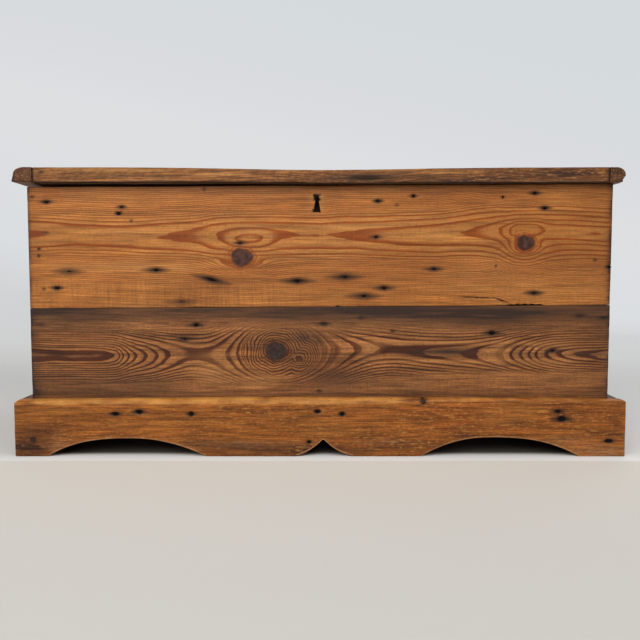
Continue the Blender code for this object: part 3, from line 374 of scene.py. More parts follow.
def stain_amount(u, v, marks):
    """Iron stain round each nail: a pointed oval drawn out along the grain, full at the hole, nothing at its rim."""
    total = np.zeros_like(u)
    for place_u, place_v, _, _, half_u, half_v, strength, slope in marks:
        if half_u > 0:
            along, aside = u - place_u, v - place_v - slope * (u - place_u)
            out = (np.abs(along) / half_u) ** STAIN_POWER + (np.abs(aside) / half_v) ** STAIN_POWER
            total = np.maximum(total, np.clip(1.3 - 1.2 * out ** (1 / STAIN_POWER), 0, 1) ** 0.7 * strength)
    return total


# Boards


class Board:
    """One board: its nodes and grain. Axes are 0, 1, 2 for x, y, z; inward is the sign of the way into the wood."""

    def __init__(self, node, along, across, through, inward, log, fine=(5.0, 2.4), **extra):
        self.node = node
        self.along = along
        self.across = across
        self.through = through
        self.inward = inward
        self.log = log
        self.fine = fine
        self.low = np.array(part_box(node)[0])
        self.high = np.array(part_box(node)[1])
        self.face = self.low[through] if inward > 0 else self.high[through]
        self.from_low = extra.get("from_low", True)
        self.marks = extra.get("marks", np.zeros((0, 8)))
        self.outline = extra.get("outline")
        self.rounds = extra.get("rounds")
        self.cut = extra.get("cut", False)
        self.tones = extra.get("tones")
        self.seed = extra.get("seed", log.seed)
        self.nails = extra.get("nails")
        self.bend = extra.get("bend")

    def grain_place(self, points):
        """Points in mm along, across and inwards. Boards read in pixels keep x and z, others start at their corner."""
        start = self.low if self.from_low else np.zeros(3)
        along = (points[:, self.along] - start[self.along]) / MM
        across = (points[:, self.across] - start[self.across]) / MM
        inwards = (points[:, self.through] - self.face) * self.inward / MM
        return along, across, inwards


THROUGH_SPACING = 5.0  # mm between a board's grid points through its thickness, where none is given
ROUND_LIMIT = 0.45  # of a board's size, the widest that its arrises are rounded
CORE_DEPTH = 6 * MM  # below the surface, the core that its points are drawn towards
SHARP_ANGLE = math.radians(38)  # between two faces, above which their edge is shaded hard
INNER_SKIN = 1.1  # mm of the inner face's wood
CUT_BELOW = 3  # mm below the face, from where a cut shows raw wood
EDGE_FALL = 6.5  # mm that the front board's edges may lie within its box


def board_points(board, sizes):
    """Box lattice, eased at its arrises, with each point drawn into the wood by slow waves and by its nail holes."""
    low, high = board.low, board.high
    rounds = np.full((2, 3), sizes.arris) if board.rounds is None else np.array(board.rounds) * MM
    spacing = np.full(3, (*board.fine, THROUGH_SPACING)[2] * MM)
    spacing[board.along] = board.fine[0] * MM
    spacing[board.across] = board.fine[1] * MM
    lines = [grid_lines(low[i], high[i], rounds[0, i], rounds[1, i], spacing[i]) for i in range(3)]
    points, quads = box_lattice(*lines)
    u, v, w = board.grain_place(points)
    worn = 1 + 0.55 * wave_noise(u, v + w, board.seed + 40, 130, 60)
    worn = np.clip(worn, 0.55, 1.9)[:, None]
    limit = (high - low) * ROUND_LIMIT
    eased = ease_edges(
        points, low, high, np.minimum(rounds[0] * worn, limit), np.minimum(rounds[1] * worn, limit)
    )
    depth = np.minimum(CORE_DEPTH, limit)
    inward = np.clip(eased, low + depth, high - depth) - eased
    inward /= np.maximum(np.linalg.norm(inward, axis=1, keepdims=True), 1e-9)
    shaped = board.outline(eased, low, high) if board.outline else eased
    u, v, w = board.grain_place(shaped)
    wave = 0.5 + 0.5 * np.clip(wave_noise(u, v + 3 * w, board.seed + 60, 90, 45), -1, 1)
    push = 0.04 * MM + sizes.wave * wave + sizes.hole_depth * hole_depth(u, v, board.marks) * (w < MARK_DEPTH)
    return shaped + inward * push[:, None], quads


def new_mesh(name, points, quads):
    """Smooth mesh from arrays of points and quads."""
    mesh = bpy.data.meshes.new(name)
    mesh.vertices.add(len(points))
    mesh.vertices.foreach_set("co", points.astype(np.float32).ravel())
    mesh.loops.add(quads.size)
    mesh.loops.foreach_set("vertex_index", quads.astype(np.int32).ravel())
    mesh.polygons.add(len(quads))
    mesh.polygons.foreach_set("loop_start", np.arange(0, quads.size, quads.shape[1], dtype=np.int32))
    mesh.update(calc_edges=True)
    mesh.validate()
    mesh.polygons.foreach_set("use_smooth", np.ones(len(mesh.polygons), bool))
    return mesh


def link(name, mesh):
    """An object with this mesh, in the scene."""
    piece = bpy.data.objects.new(name, mesh)
    bpy.context.scene.collection.objects.link(piece)
    return piece


def keep_inside_node(piece, node):
    """Cuts a piece to its node's own solid, so that it gets the node's mortises, housings and holes."""
    solid = bmesh.new()
    solid.from_mesh(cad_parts[node].data)
    bmesh.ops.remove_doubles(solid, verts=solid.verts, dist=1e-7)
    tool_mesh = bpy.data.meshes.new(node + "_tool")
    solid.to_mesh(tool_mesh)
    solid.free()
    tool = link(node + "_tool", tool_mesh)
    cut = piece.modifiers.new("node", "BOOLEAN")
    cut.operation, cut.solver, cut.object = "INTERSECT", "MANIFOLD", tool
    evaluated = piece.evaluated_get(bpy.context.evaluated_depsgraph_get())
    mesh = bpy.data.meshes.new_from_object(evaluated)
    if not mesh.polygons:
        raise RuntimeError(f"{piece.name}: nothing is left inside node {node}")
    piece.modifiers.remove(cut)
    piece.data = mesh
    bpy.data.objects.remove(tool)


def mesh_points(mesh):
    """Places of a mesh's vertices, one row each."""
    points = np.zeros(len(mesh.vertices) * 3, np.float32)
    mesh.vertices.foreach_get("co", points)
    return points.reshape(-1, 3).astype(float)


def paint_board(piece, board):
    """Stores on each vertex what the wood material reads."""
    mesh = piece.data
    u, v, w = board.grain_place(mesh_points(mesh))
    heart = knot_share(u, v, board.log)
    numbers = {
        "ring": ring_number(u, v, w, board.log),
        "line": np.ones_like(u),
        "knot": np.clip((1.04 - heart) * 9, 0, 1),
        "heart": np.clip(heart, 0, 2) / 2,
        "iron": stain_amount(u, v, board.marks) * np.exp(-np.maximum(w - 0.5, 0) / 3),
        # Nail holes, cracks and gaps, later painted near black as their shade over old rust and dirt.
        "pit": hole_depth(u, v, board.marks) * (w < MARK_DEPTH),
        **{name: np.zeros_like(u) for name in ("tone", "saw", "lean", "bare")},
    }
    board.tones(board, u, v, w, numbers)
    for name, values in numbers.items():
        attribute = mesh.attributes.new(name, "FLOAT", "POINT")
        attribute.data.foreach_set("value", np.asarray(values, np.float32))


def knot_share(u, v, log):
    """Distance from the nearest knot's middle, one at its slightly ragged rim. In a log with an eye, the knot is
    the eye's."""
    nearest = np.full_like(u, 9.0)
    knots = [(*log.eye[1], EYE_KNOT_RADIUS, 1, 1)] if log.eye else log.knots
    for knot_u, knot_v, radius, _, _ in knots:
        turn = np.arctan2(v - knot_v, u - knot_u)
        ragged = 1 + 0.05 * np.sin(3 * turn + 1.0) + 0.03 * np.sin(7 * turn + knot_u)
        nearest = np.minimum(nearest, np.hypot((u - knot_u) / 1.18, v - knot_v) / (radius * 0.97 * ragged))
    return nearest


def inner_faces(mesh, board):
    """Gives the second material to the inner face, and to what is cut into the board from there, which lies well
    below the outer face and further from the board's box than its edges do."""
    centres = np.zeros(len(mesh.polygons) * 3, np.float32)
    mesh.polygons.foreach_get("center", centres)
    u, v, w = board.grain_place(centres.reshape(-1, 3).astype(float))
    thick = (board.high - board.low)[board.through] / MM
    inner = w > thick - INNER_SKIN
    if board.cut:
        start = np.zeros(3) if board.from_low else board.low / MM
        size = (board.high - board.low) / MM
        a, b = u - start[board.along], v - start[board.across]
        from_edge = np.minimum.reduce([a, size[board.along] - a, b, size[board.across] - b])
        inner |= (w > CUT_BELOW) & (from_edge > (3 if board.from_low else EDGE_FALL))
    mesh.polygons.foreach_set("material_index", inner.astype(np.int32))


def make_board(board, finish, inner, body, sizes):
    """Makes a board's mesh, cuts and paints it, and lets it ride on its body in place of its node."""
    points, quads = board_points(board, sizes)
    piece = link("worn_" + board.node, new_mesh("worn_" + board.node, points, quads))
    if board.cut:
        keep_inside_node(piece, board.node)
        piece.data.set_sharp_from_angle(angle=SHARP_ANGLE)
    piece.data.materials.clear()
    piece.data.materials.append(wood(finish, board.along))
    piece.data.materials.append(wood(inner, board.along))
    inner_faces(piece.data, board)
    if board.bend:
        points = mesh_points(piece.data)
        piece.data.vertices.foreach_set("co", board.bend(points, board.low, board.high).astype(np.float32).ravel())
        piece.data.update()
    paint_board(piece, board)
    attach(piece, body)
    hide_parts(board.node)
    return piece


# Outlines


def between(points, axis, low, high, bottom, top):
    """Heights from low to high are spread evenly between the curves bottom and top, both functions of the points."""
    share = (points[:, axis] - low) / (high - low)
    points[:, axis] = bottom + share * (top - bottom)
    return points


def climb(x):
    """Height below the right end's, of an edge that climbs evenly from left to right across the carcass."""
    left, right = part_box("back_upper_board")[0].x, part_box("back_upper_board")[1].x
    return -FRONT_RISE * (right - x) / (right - left)


def chip(x, rows, face):
    """Depth of the chips in an edge: each row is two pixel x's and a depth in mm, with a ragged floor."""
    total = np.zeros_like(x)
    for start, stop, depth in rows:
        left, _ = on_face(start, 305, face)
        right, _ = on_face(stop, 305, face)
        share = np.clip((x - left) / (right - left), 0, 1)
        ragged = 1 + 0.35 * np.sin(share * 31) + 0.2 * np.sin(share * 67 + 1)
        total += depth * MM * np.clip(4 * share * (1 - share), 0, 1) ** 0.35 * ragged
    return total


def upper_outline(points, low, high):
    """Both long edges climb, and chips are broken off the lower one."""
    x = points[:, 0]
    chips = chip(x, ((508, 545, 2.0), (336.5, 340, 1.6)), CARCASS_FACE)
    return between(points, 2, low[2], high[2], low[2] + FRONT_RISE + climb(x) + chips, high[2] + climb(x))


def lower_outline(points, low, high):
    """The top edge climbs 0.3 mm below the upper board."""
    x = points[:, 0]
    return between(points, 2, low[2], high[2], low[2], high[2] + climb(x) + 0.3 * MM)


# How the lid's front edge sags, in mm: how far, about which x, and over which half length, at its top and underside
TOP_SAG, UNDER_SAG = (4.0, 7, 172), (3.4, 88, 165)
SAG_GAP = 0.35 * MM  # kept above the front board
SAG_FADE = 14 * MM  # behind the carcass front, where the underside is straight again


def sag(x, size, middle, half):
    """Gaussian along x: its height, its middle and its half length in mm."""
    return size * MM * np.exp(-(((x - middle * MM) / (half * MM)) ** 2))


def lid_sag(points, low, high):
    """The lid's front edge hangs through: its top by a Gaussian along x that fades to the board's back, its underside
    by another, as far as the front board below lets it, that ends over that board."""
    x, y = points[:, 0], points[:, 1]
    top = sag(x, *TOP_SAG) * (0.5 + 0.5 * np.cos(math.pi * (y - low[1]) / (high[1] - low[1])))
    under = np.minimum(sag(x, *UNDER_SAG), np.clip(-climb(x) - SAG_GAP, 0, None))
    under = under * np.clip((CARCASS_FACE + SAG_FADE - y) / SAG_FADE, 0, 1)
    share = np.clip((points[:, 2] - low[2]) / (high[2] - low[2]), 0, 1)
    points[:, 2] -= share * top + (1 - share) * under
    return points


def left_side_outline(points, low, high):
    """The top edge runs from the front board's low left corner up to the back."""
    y = points[:, 1]
    top = high[2] - FRONT_RISE * (high[1] - y) / (high[1] - low[1])
    return between(points, 2, low[2], high[2], low[2], top)


def chamfer(points, first, second, size):
    """Takes an edge off between two faces: what lies nearer the edge than size, in steps along the two axes, is
    brought straight onto the slope. A face is its axis, its place and the way into the wood."""
    (a, face_a, way_a), (b, face_b, way_b) = first, second
    short = np.clip(size - np.abs(points[:, a] - face_a) - np.abs(points[:, b] - face_b), 0, None) / 2
    points[:, a] += way_a * short
    points[:, b] += way_b * short
    return points


# The two arches and the pointed notch of the plinth, in mm: where it starts, is highest and stops, the powers of its
# two sides, its height, and whether it comes to a point
PLINTH_CUTS = (
    (-411.24, -283.36, -171.12, 2.8, 2.0, 27.5, False), (152.6, 256.0, 391.5, 2.1, 2.6, 29.2, False),
    (-45.0, 5.0, 68.0, 1.9, 2.5, 26.5, True),
)
# How far the plinth's top is worn down along x, in mm
PLINTH_WEAR = ((-460, -335, -180, 30, 150, 240, 360, 460), (2.8, 2.0, 1.0, 0, 0.15, 0.9, 2.2, 2.8))
EDGE_WEAR = 6  # mm that are worn off the outer edge of the plinth's top
LEFT_END_WEAR, RIGHT_END_WEAR = 7 * MM, 5 * MM  # chamfers of the plinth front's top corners
RAIL_FALL, RAIL_FALL_LENGTH = 2.8 * MM, 250 * MM  # wear of an end rail's top at its front, and how far it runs back


def plinth_edge(x):
    """Height of the plinth's lower edge: its height times 1 - away^power in an arch, (1 - away)^power in a notch."""
    x = x / MM
    rise = np.zeros_like(x)
    for start, peak, stop, left_power, right_power, height, pointed in PLINTH_CUTS:
        away = np.clip(np.where(x < peak, (peak - x) / (peak - start), (x - peak) / (stop - peak)), 0, 1)
        power = np.where(x < peak, left_power, right_power)
        rise = np.maximum(rise, height * MM * ((1 - away) ** power if pointed else 1 - away**power))
    return rise


def plinth_outline(points, low, high):
    """Lower edge cut to the arches, top worn down towards both ends, its outer edge taken off, less at the right, and
    the ends' top corners too."""
    x = points[:, 0]
    worn = smooth_curve(x / MM, *PLINTH_WEAR)
    points = between(points, 2, low[2], high[2], low[2] + plinth_edge(x), high[2] - worn * MM)
    share = (points[:, 0] - low[0]) / (high[0] - low[0])
    size = (EDGE_WEAR - 2.4 * np.clip((share - 0.6) / 0.15, 0, 1)) * MM
    size = size * (1 + 0.13 * np.sin(x * 23 + 1) + 0.09 * np.sin(x * 61) + 0.06 * np.sin(x * 167))
    points = chamfer(points, (1, low[1], 1), (2, high[2], -1), size + worn * MM)
    points = chamfer(points, (0, low[0], 1), (2, high[2], -1), LEFT_END_WEAR)
    return chamfer(points, (0, high[0], -1), (2, high[2], -1), RIGHT_END_WEAR)


def rail_outline(points, low, high):
    """The plinth's end rail, worn down to its front by a square curve, with its top outer edge taken off."""
    outer, way = (low[0], 1) if low[0] < 0 else (high[0], -1)
    fall = RAIL_FALL * np.clip(1 - (points[:, 1] - low[1]) / RAIL_FALL_LENGTH, 0, 1) ** 2
    points = between(points, 2, low[2], high[2], low[2], high[2] - fall)
    worn = EDGE_WEAR * MM * (1 + 0.12 * np.sin(points[:, 1] * 31) + 0.08 * np.sin(points[:, 1] * 83))
    return chamfer(points, (0, outer, way), (2, high[2], -1), worn)


CLEAT_LEAN = 0.08  # of a cleat's width, over the lower half of its height
LEFT_CLEAT_SLOPE, RIGHT_CLEAT_SLOPE = 0.50, 0.56  # of its width, over the upper half
LEFT_CLEAT_REACH = 2.6 * MM  # past its node
# The right cleat's broken corner: depth, length, and height as a share of the cleat's
KNOCK, KNOCK_LENGTH, KNOCK_HEIGHT = 5.5 * MM, 60 * MM, 0.42


def cleat_outline(points, low, high, outer, way, slope):
    """The face leans in over the lower half of the height, then a quarter of an ellipse runs up to the flat top, the
    slope's share of the width in. Sine and cosine of one angle, spread over the upper half, give both."""
    width, height = high[0] - low[0], high[2] - low[2]
    share = (points[:, 2] - low[2]) / height
    side = np.clip(share / 0.5, 0, 1)
    angle = np.clip((share - 0.5) / 0.5, 0, 1) * math.pi / 2
    inset = CLEAT_LEAN * side + slope * (1 - np.cos(angle))
    points[:, 2] = low[2] + height * (0.5 * side + 0.5 * np.sin(angle))
    reach = np.abs(points[:, 0] - outer) / width
    points[:, 0] = outer + way * width * (inset + reach * (1 - inset))
    return points


def left_cleat_outline(points, low, high):
    """A shorter slope than the right one's, and further out than its node."""
    points = cleat_outline(points, low, high, low[0], 1, LEFT_CLEAT_SLOPE)
    points[:, 0] -= LEFT_CLEAT_REACH * np.clip((high[0] - points[:, 0]) / (high[0] - low[0]) * 2 - 0.6, 0, 1)
    return points


def right_cleat_outline(points, low, high):
    """The front end is knocked: its lower outer corner is broken off, by a Gaussian from the front."""
    points = cleat_outline(points, low, high, high[0], -1, RIGHT_CLEAT_SLOPE)
    height = high[2] - low[2]
    low_part = np.clip(1 - (points[:, 2] - low[2]) / (KNOCK_HEIGHT * height), 0, 1) ** 0.6
    near = np.exp(-(((points[:, 1] - low[1]) / KNOCK_LENGTH) ** 2))
    outer = 1 - np.clip((high[0] - points[:, 0]) / (14 * MM), 0, 1)
    ragged = 1 + 0.25 * np.sin(points[:, 1] * 190) + 0.15 * np.sin(points[:, 2] * 900 + points[:, 1] * 60)
    points[:, 0] -= KNOCK * low_part * near * outer * ragged
    return points


# Tones of single boards, as light and dark areas read off the photo: pixel x and y, half sizes, how dark


def pixel_blobs(u, v, rows, face=CARCASS_FACE):
    """Blobs whose places and half sizes were read in pixels."""
    table = face_rows(rows, face)
    table[:, 2:4] *= PIXEL
    return blobs(u, v, table)


# The rows at y 186 and y 192 are painted shade: a darker band along the board's top, under the lid's overhang.
UPPER_TONES = (
    (36, 232, 12, 12, 0.16), (34, 250, 8, 30, 0.16), (320, 186, 400, 5, 0.44), (330, 305, 400, 2.5, 0.05),
    (190, 288, 200, 16, 0.14), (140, 267, 110, 6, -0.30), (330, 268, 160, 12, 0.12), (560, 190, 80, 16, 0.06),
    (600, 240, 24, 60, 0.22), (612, 250, 5, 80, 0.5), (28, 250, 3, 80, 0.35), (500, 285, 110, 18, 0.12),
    (150, 192, 150, 8, 0.20), (470, 200, 60, 12, 0.12), (317, 197, 6, 4, -0.7), (318, 207, 6, 5, -0.4),
    (257, 260, 4, 6, -0.28), (430, 256, 200, 10, 0.10), (90, 240, 60, 6, 0.10), (560, 270, 60, 16, 0.10),
    (540, 245, 90, 30, 0.07), (340, 227, 40, 2.5, -0.25), (120, 232, 60, 4, -0.12), (420, 235, 50, 4, -0.15),
    (255, 232, 16, 5, -0.2),
)
LOWER_TONES = (
    (320, 311, 420, 12, 0.86), (60, 318, 60, 18, 0.40), (470, 318, 140, 14, 0.40), (300, 395, 420, 5, 0.45),
    (60, 385, 90, 16, 0.50), (160, 384, 60, 12, 0.26), (208, 374, 24, 12, -0.50), (255, 384, 30, 12, -0.34),
    (400, 375, 70, 18, 0.05), (480, 376, 40, 12, -0.16), (560, 380, 60, 10, 0.10), (420, 386, 120, 10, 0.10),
    (304, 338, 9, 6, 0.7), (318, 341, 6, 9, 0.5), (330, 376, 30, 9, 0.30), (340, 383, 70, 10, 0.24),
    (582, 355, 22, 3.6, 0.45), (434, 352, 42, 4.0, 0.65), (452, 352, 20, 4.6, 0.5), (60, 355, 40, 3.2, 0.3),
    (440, 343, 50, 2.5, -0.35), (440, 361, 50, 2.5, -0.35), (520, 352, 10, 6, 0.4), (212, 355, 20, 3, -0.35),
    (90, 343, 40, 3, -0.25), (90, 368, 50, 3, -0.2), (180, 345, 24, 3, -0.3), (372, 350, 14, 12, -0.3),
    (500, 352, 8, 9, -0.45), (545, 345, 40, 3, -0.3), (545, 362, 40, 3, -0.3), (281, 330, 24, 4, 0.15),
    (290, 350, 26, 20, 0.22), (281, 378, 22, 4, -0.3), (600, 350, 10, 60, 0.25), (36, 350, 6, 60, 0.25),
    (492, 322, 40, 6, 0.3),
)
PLINTH_TONES = (
    (28, 449, 30, 10, 1.05), (44, 430, 28, 10, 0.60), (320, 452, 44, 7, 0.75), (240, 447, 60, 7, 0.78),
    (600, 432, 24, 7, 0.40), (540, 446, 60, 8, 0.20), (200, 434, 26, 10, 0.25), (423, 400, 12, 3, 0.6),
    (400, 446, 50, 6, 0.55), (470, 436, 24, 6, 0.40), (130, 424, 60, 9, -0.05), (330, 430, 30, 9, -0.15),
    (22, 405, 8, 60, 0.2), (150, 416, 70, 3, 0.2), (562, 416, 16, 8, 0.3), (395, 418, 60, 8, 0.10),
    (500, 420, 30, 6, -0.15), (520, 410, 30, 4, -0.2), (190, 424, 40, 4, -0.15), (280, 418, 60, 5, -0.1),
    (618, 420, 8, 40, 0.25), (460, 428, 8, 12, 0.2), (60, 412, 30, 4, -0.15),
)
PLINTH_BARE = (
    (600, 452, 26, 7, 0.45), (562, 442, 22, 5, 0.3), (60, 446, 10, 8, 0.4), (240, 444, 60, 4, 0.2),
    (390, 442, 30, 3, 0.2),
)
LID_TONES = (
    (560, 178, 95, 12, 0.40), (560, 171, 90, 4, 0.75), (470, 181, 60, 4, 0.40), (365, 171, 30, 3, 0.25),
    (430, 178, 40, 7, 0.22), (250, 182, 60, 3, 0.18), (150, 180, 60, 2.5, 0.12), (320, 182.5, 400, 1.4, 0.30),
    (80, 176, 70, 6, -0.12), (480, 172, 10, 1.6, -0.9), (445, 173, 22, 1.2, -0.9), (400, 170.5, 60, 1.4, -0.5),
    (130, 170, 40, 2, -0.4), (215, 174, 30, 2, -0.4), (602, 172, 5, 2.4, -1.1), (530, 171, 16, 1.6, -0.7),
    (300, 171, 24, 1.6, -0.2), (330, 176, 60, 9, 0.24), (70, 176, 14, 2, 0.25), (187, 176, 10, 1.5, 0.35),
    (330, 178, 14, 1.6, 0.35), (36, 175, 4, 9, 0.3), (262, 173, 8, 2, 0.2), (565, 176, 8, 3, 0.4),
)


def row_height(py):
    """Height of a pixel row on the carcass front, in mm."""
    return on_face(IMAGE_SIDE / 2, py, CARCASS_FACE)[1] / MM


def upper_tones(board, u, v, w, numbers):
    """Full lines in the middle of the board, hardly any in its sawn lower part and along the top."""
    top = np.clip((v - row_height(197)) / 12, 0, 1)
    low = np.clip((row_height(279) - v) / 11, 0, 1)
    away = np.abs(v - smooth_curve(u, *board.log.axis))
    numbers["line"] = 1.1 * (1 - 0.25 * top) * (1 - 0.5 * low)
    numbers["tone"] = pixel_blobs(u, v, UPPER_TONES)
    left = np.clip((on_face(330, 290, CARCASS_FACE)[0] / MM - u) / 260, 0, 1)
    numbers["saw"] = np.clip(0.08 + low * (0.3 + left) + 0.35 * np.exp(-((away / 12) ** 2)), 0, 1)
    edge_tone(board, u, v, w, numbers, 0.7, 0.6)


def lower_tones(board, u, v, w, numbers):
    """Strong lines in the band of the knot, worn away above and below it; they lean the other way at the right."""
    top = np.clip((v - row_height(338)) / 20, 0, 1)
    foot = row_height(377) + 15 * np.clip((u - 60) / 140, 0, 1)
    low = np.clip((foot - v) / 11, 0, 1)
    numbers["line"] = 1.5 * (1 - 0.86 * top) * (1 - 0.9 * low)
    numbers["lean"] = np.clip((u + 30) / 90, 0, 1)
    numbers["saw"] = 0.2 + 0.3 * low
    numbers["tone"] = pixel_blobs(u, v, LOWER_TONES)
    edge_tone(board, u, v, w, numbers, 0.7, 0.6)


def edge_tone(board, u, v, w, numbers, amount, fade=0.0):
    """Dirt along a board's long edges and its ends. All tone fades by a share from 1.5 to 4.5 mm below the face."""
    size = (board.high - board.low) / MM
    start = np.zeros(3) if board.from_low else board.low / MM
    to_end = np.minimum(u - start[board.along], start[board.along] + size[board.along] - u)
    to_side = np.minimum(v - start[board.across], start[board.across] + size[board.across] - v)
    noise = np.clip(1 + 0.6 * wave_noise(u, v, board.seed + 7, 70, 30), 0.2, 2)
    near = np.exp(-np.maximum(to_end, 0) / 3.5) + 0.6 * np.exp(-np.maximum(to_side, 0) / 2.2)
    near *= 1 - 0.5 * np.clip((w - 1.5) / 2, 0, 1)
    numbers["tone"] = (numbers["tone"] + amount * near * noise) * (1 - fade * np.clip((w - 1.5) / 3, 0, 1))


def plinth_tones(board, u, v, w, numbers):
    """A pale arris along the top, worn and painted with a highlight where its bevel faces up, a dark foot at the left
    and pale cut edges along the arches.
    """
    numbers["line"] = np.full_like(u, 0.42)
    numbers["tone"] = pixel_blobs(u, v, PLINTH_TONES, PLINTH_FACE)
    below_top = board.high[2] / MM - v
    share = np.clip((u + HALF_LENGTH) / (2 * HALF_LENGTH), 0, 1)
    band = 9.5 - 5.0 * np.clip((share - 0.6) / 0.15, 0, 1) + 1.2 * wave_noise(u, u * 0, 77, 45, 45)
    # Painted highlight and wear: the top band is paled, most at the left where its bevel is widest.
    light = np.clip((band - below_top) / 2.5, 0, 1) * (below_top > 0.2)
    light = light * (0.60 - 0.30 * np.clip((share - 0.55) / 0.2, 0, 1) + 0.35 * wave_noise(u, v, 78, 30, 12))
    numbers["tone"] = numbers["tone"] - light
    edge = plinth_edge(u * MM) / MM
    cut_edge = np.clip(1.5 - (v - edge) / 1.9, 0, 1) * (edge > 1) * (w < 3)
    numbers["tone"] = numbers["tone"] * (1 - cut_edge) - 0.25 * cut_edge
    numbers["bare"] = np.clip(pixel_blobs(u, v, PLINTH_BARE, PLINTH_FACE) + 0.7 * cut_edge, 0, 1)


def rail_tones(board, u, v, w, numbers):
    """Dirt along the top and at the foot."""
    numbers["line"] = np.full_like(u, 0.45)
    below_top = (board.high[2] - board.low[2]) / MM - v
    numbers["tone"] = 0.5 * np.exp(-v / 9) + 0.9 * np.clip((9 - below_top) / 4, 0, 1)


def lid_tones(board, u, v, w, numbers):
    """Clear lines and dirty edges."""
    numbers["line"] = np.full_like(u, 0.8)
    edge_tone(board, u, v, w, numbers, 0.6)


def lid_front_tones(board, u, v, w, numbers):
    """The lid's front edge, read off the photo: a dark right half, rubbed streaks, a black mark in the middle, black
    ends at the cleats' joints, and painted shade, near black, on the strip of underside before the carcass."""
    lid_tones(board, u, v, w, numbers)
    x, z = u + board.low[0] / MM, board.high[2] / MM - w
    edge = np.clip(1.4 - v / 3, 0, 1)
    streaks = 0.32 * wave_noise(x, z, 90, 90, 7) + 0.25 * wave_noise(x, z, 91, 22, 5)
    numbers["tone"] = numbers["tone"] * (1 - edge) + edge * (pixel_blobs(x, z, LID_TONES, LID_FACE) + streaks)
    mark = pixel_blobs(x, z, ((366, 177.5, 24, 3.2, 1.2),), LID_FACE)
    numbers["iron"] = np.maximum(numbers["iron"], edge * np.clip(mark, 0, 0.9))
    size = (board.high - board.low) / MM
    joint = np.clip(1.6 - np.minimum(u, size[0] - u) / 1.8, 0, 1)
    dot = np.clip(pixel_blobs(x, z, ((41, 172, 2.0, 1.6, 1.1),), LID_FACE), 0, 1)
    # Painted shade: the strip of underside before the carcass is painted near black, as the shade under the lid.
    overhang_shade = np.clip(((CARCASS_FACE - board.low[1]) / MM + 5 - v) / 6, 0, 1) * (w > size[2] - 0.7) * (v > 0.6)
    numbers["pit"] = np.maximum.reduce([joint * edge, dot * edge, 0.78 * overhang_shade])


def cleat_tones(board, u, v, w, numbers):
    """The cleats' front ends are darker and browner than their sides."""
    lid_tones(board, u, v, w, numbers)
    numbers["tone"] = numbers["tone"] + 0.5 * np.exp(-u / 5)


def plain_tones(board, u, v, w, numbers):
    """Softer lines and cleaner edges, for what is out of the photo's view."""
    numbers["line"] = np.full_like(u, 0.6)
    edge_tone(board, u, v, w, numbers, 0.45)


def raw_tones(board, u, v, w, numbers):
    """The saw's marks all over, and broad pale and dark areas."""
    numbers["line"] = np.full_like(u, 0.7)
    numbers["saw"] = np.full_like(u, 0.8)
    numbers["tone"] = 0.28 * wave_noise(u, v, board.seed + 3, 260, 120)
    edge_tone(board, u, v, w, numbers, 0.6)


# Materials


def add_node(tree, made, kind, settings, inputs, output=0):
    """Adds a node and returns one of its outputs. Settings are its properties. An input is a value, the label of an
    output in made, or another node, as a tuple of kind, settings, inputs and output."""
    node = tree.nodes.new("ShaderNode" + kind)
    for name, value in settings.items():
        setattr(node, name, value)
    for key, value in inputs.items() if isinstance(inputs, dict) else enumerate(inputs):
        if isinstance(value, str):
            tree.links.new(made[value], node.inputs[key])
        elif isinstance(value, tuple) and isinstance(value[0], str):
            tree.links.new(add_node(tree, made, *value), node.inputs[key])
        else:
            node.inputs[key].default_value = value
    return node.outputs[output] if node.outputs else None


def build_tree(owner, rows, ramps=()):
    """Fills the node tree of a material or world. Rows are a label and a node each; ramps are the stops, as place
    and grey or colour, of the colour ramps with these labels."""
    owner.use_nodes = True
    owner.node_tree.nodes.clear()
    made = {}
    for label, *row in rows:
        made[label] = add_node(owner.node_tree, made, *row)
    for label, stops in ramps:
        elements = made[label].node.color_ramp.elements
        while len(elements) > 1:
            elements.remove(elements[-1])
        for number, (place, colour) in enumerate(stops):
            element = elements[0] if number == 0 else elements.new(place)
            element.position = place
            element.color = colour if isinstance(colour, tuple) else (colour, colour, colour, 1)
    return owner


# Settings that many nodes share
ADD, TIMES, TIMES_ADD, LARGER, LESS, SINE, WHOLE, REST, SIZE = (
    {"operation": name}
    for name in ("ADD", "MULTIPLY", "MULTIPLY_ADD", "MAXIMUM", "SUBTRACT", "SINE", "FLOOR", "FRACT", "ABSOLUTE")
)
CLAMPED = {"use_clamp": True}
BLEND = {"data_type": "RGBA"}

# Wood noises: size along the grain and across it in mm, detail, roughness. A fibre of pine is 0.03 mm wide, which
# is too fine to show, so bundles of them are drawn. A noise lies mostly between 0.3 and 0.7
WOOD_NOISES = {
    "waver": (70.0, 7.0, 2.0, 0.5),
    "fibre": (48.0, 2.1, 3.0, 0.6),
    "streak": (130.0, 6.5, 3.0, 0.6),
    "blotch": (170.0, 70.0, 3.0, 0.55),
    "fleck": (6.0, 2.2, 2.0, 0.5),
    "tooth": (3.0, 40.0, 2.0, 0.5),
    "scuff": (13.0, 2.4, 3.0, 0.65),
    "patch": (7.0, 7.0, 3.0, 0.6),
    "grit": (3.4, 2.6, 2.0, 0.6),
}
READ = ("ring", "line", "knot", "heart", "iron", "pit", "tone", "saw", "lean", "bare")
# How strong a knot's dark rim and the grain wrapped round it are, by half the distance from its middle
KNOT_RIM = ((0.0, 0.0), (0.39, 0.0), (0.43, 0.6), (0.45, 0.2), (0.475, 0.9), (1.0, 1.0))
KNOT_WRAP = (
    (0.0, 0.0), (0.52, 0.0), (0.55, 0.8), (0.58, 0.8), (0.63, 0.0), (0.69, 0.0), (0.72, 0.4), (0.76, 0.0), (1.0, 0.0),
)
SAW_PITCH = 3.3 * MM
# The hole colour is near black: painted shade in nail holes, cracks and gaps, over their old rust and dirt.
DUSTY, RUST_STAIN, HOLE_AND_SHADE, RESIN = "#AC8460", "#2A1D15", "#070402", "#120C09"


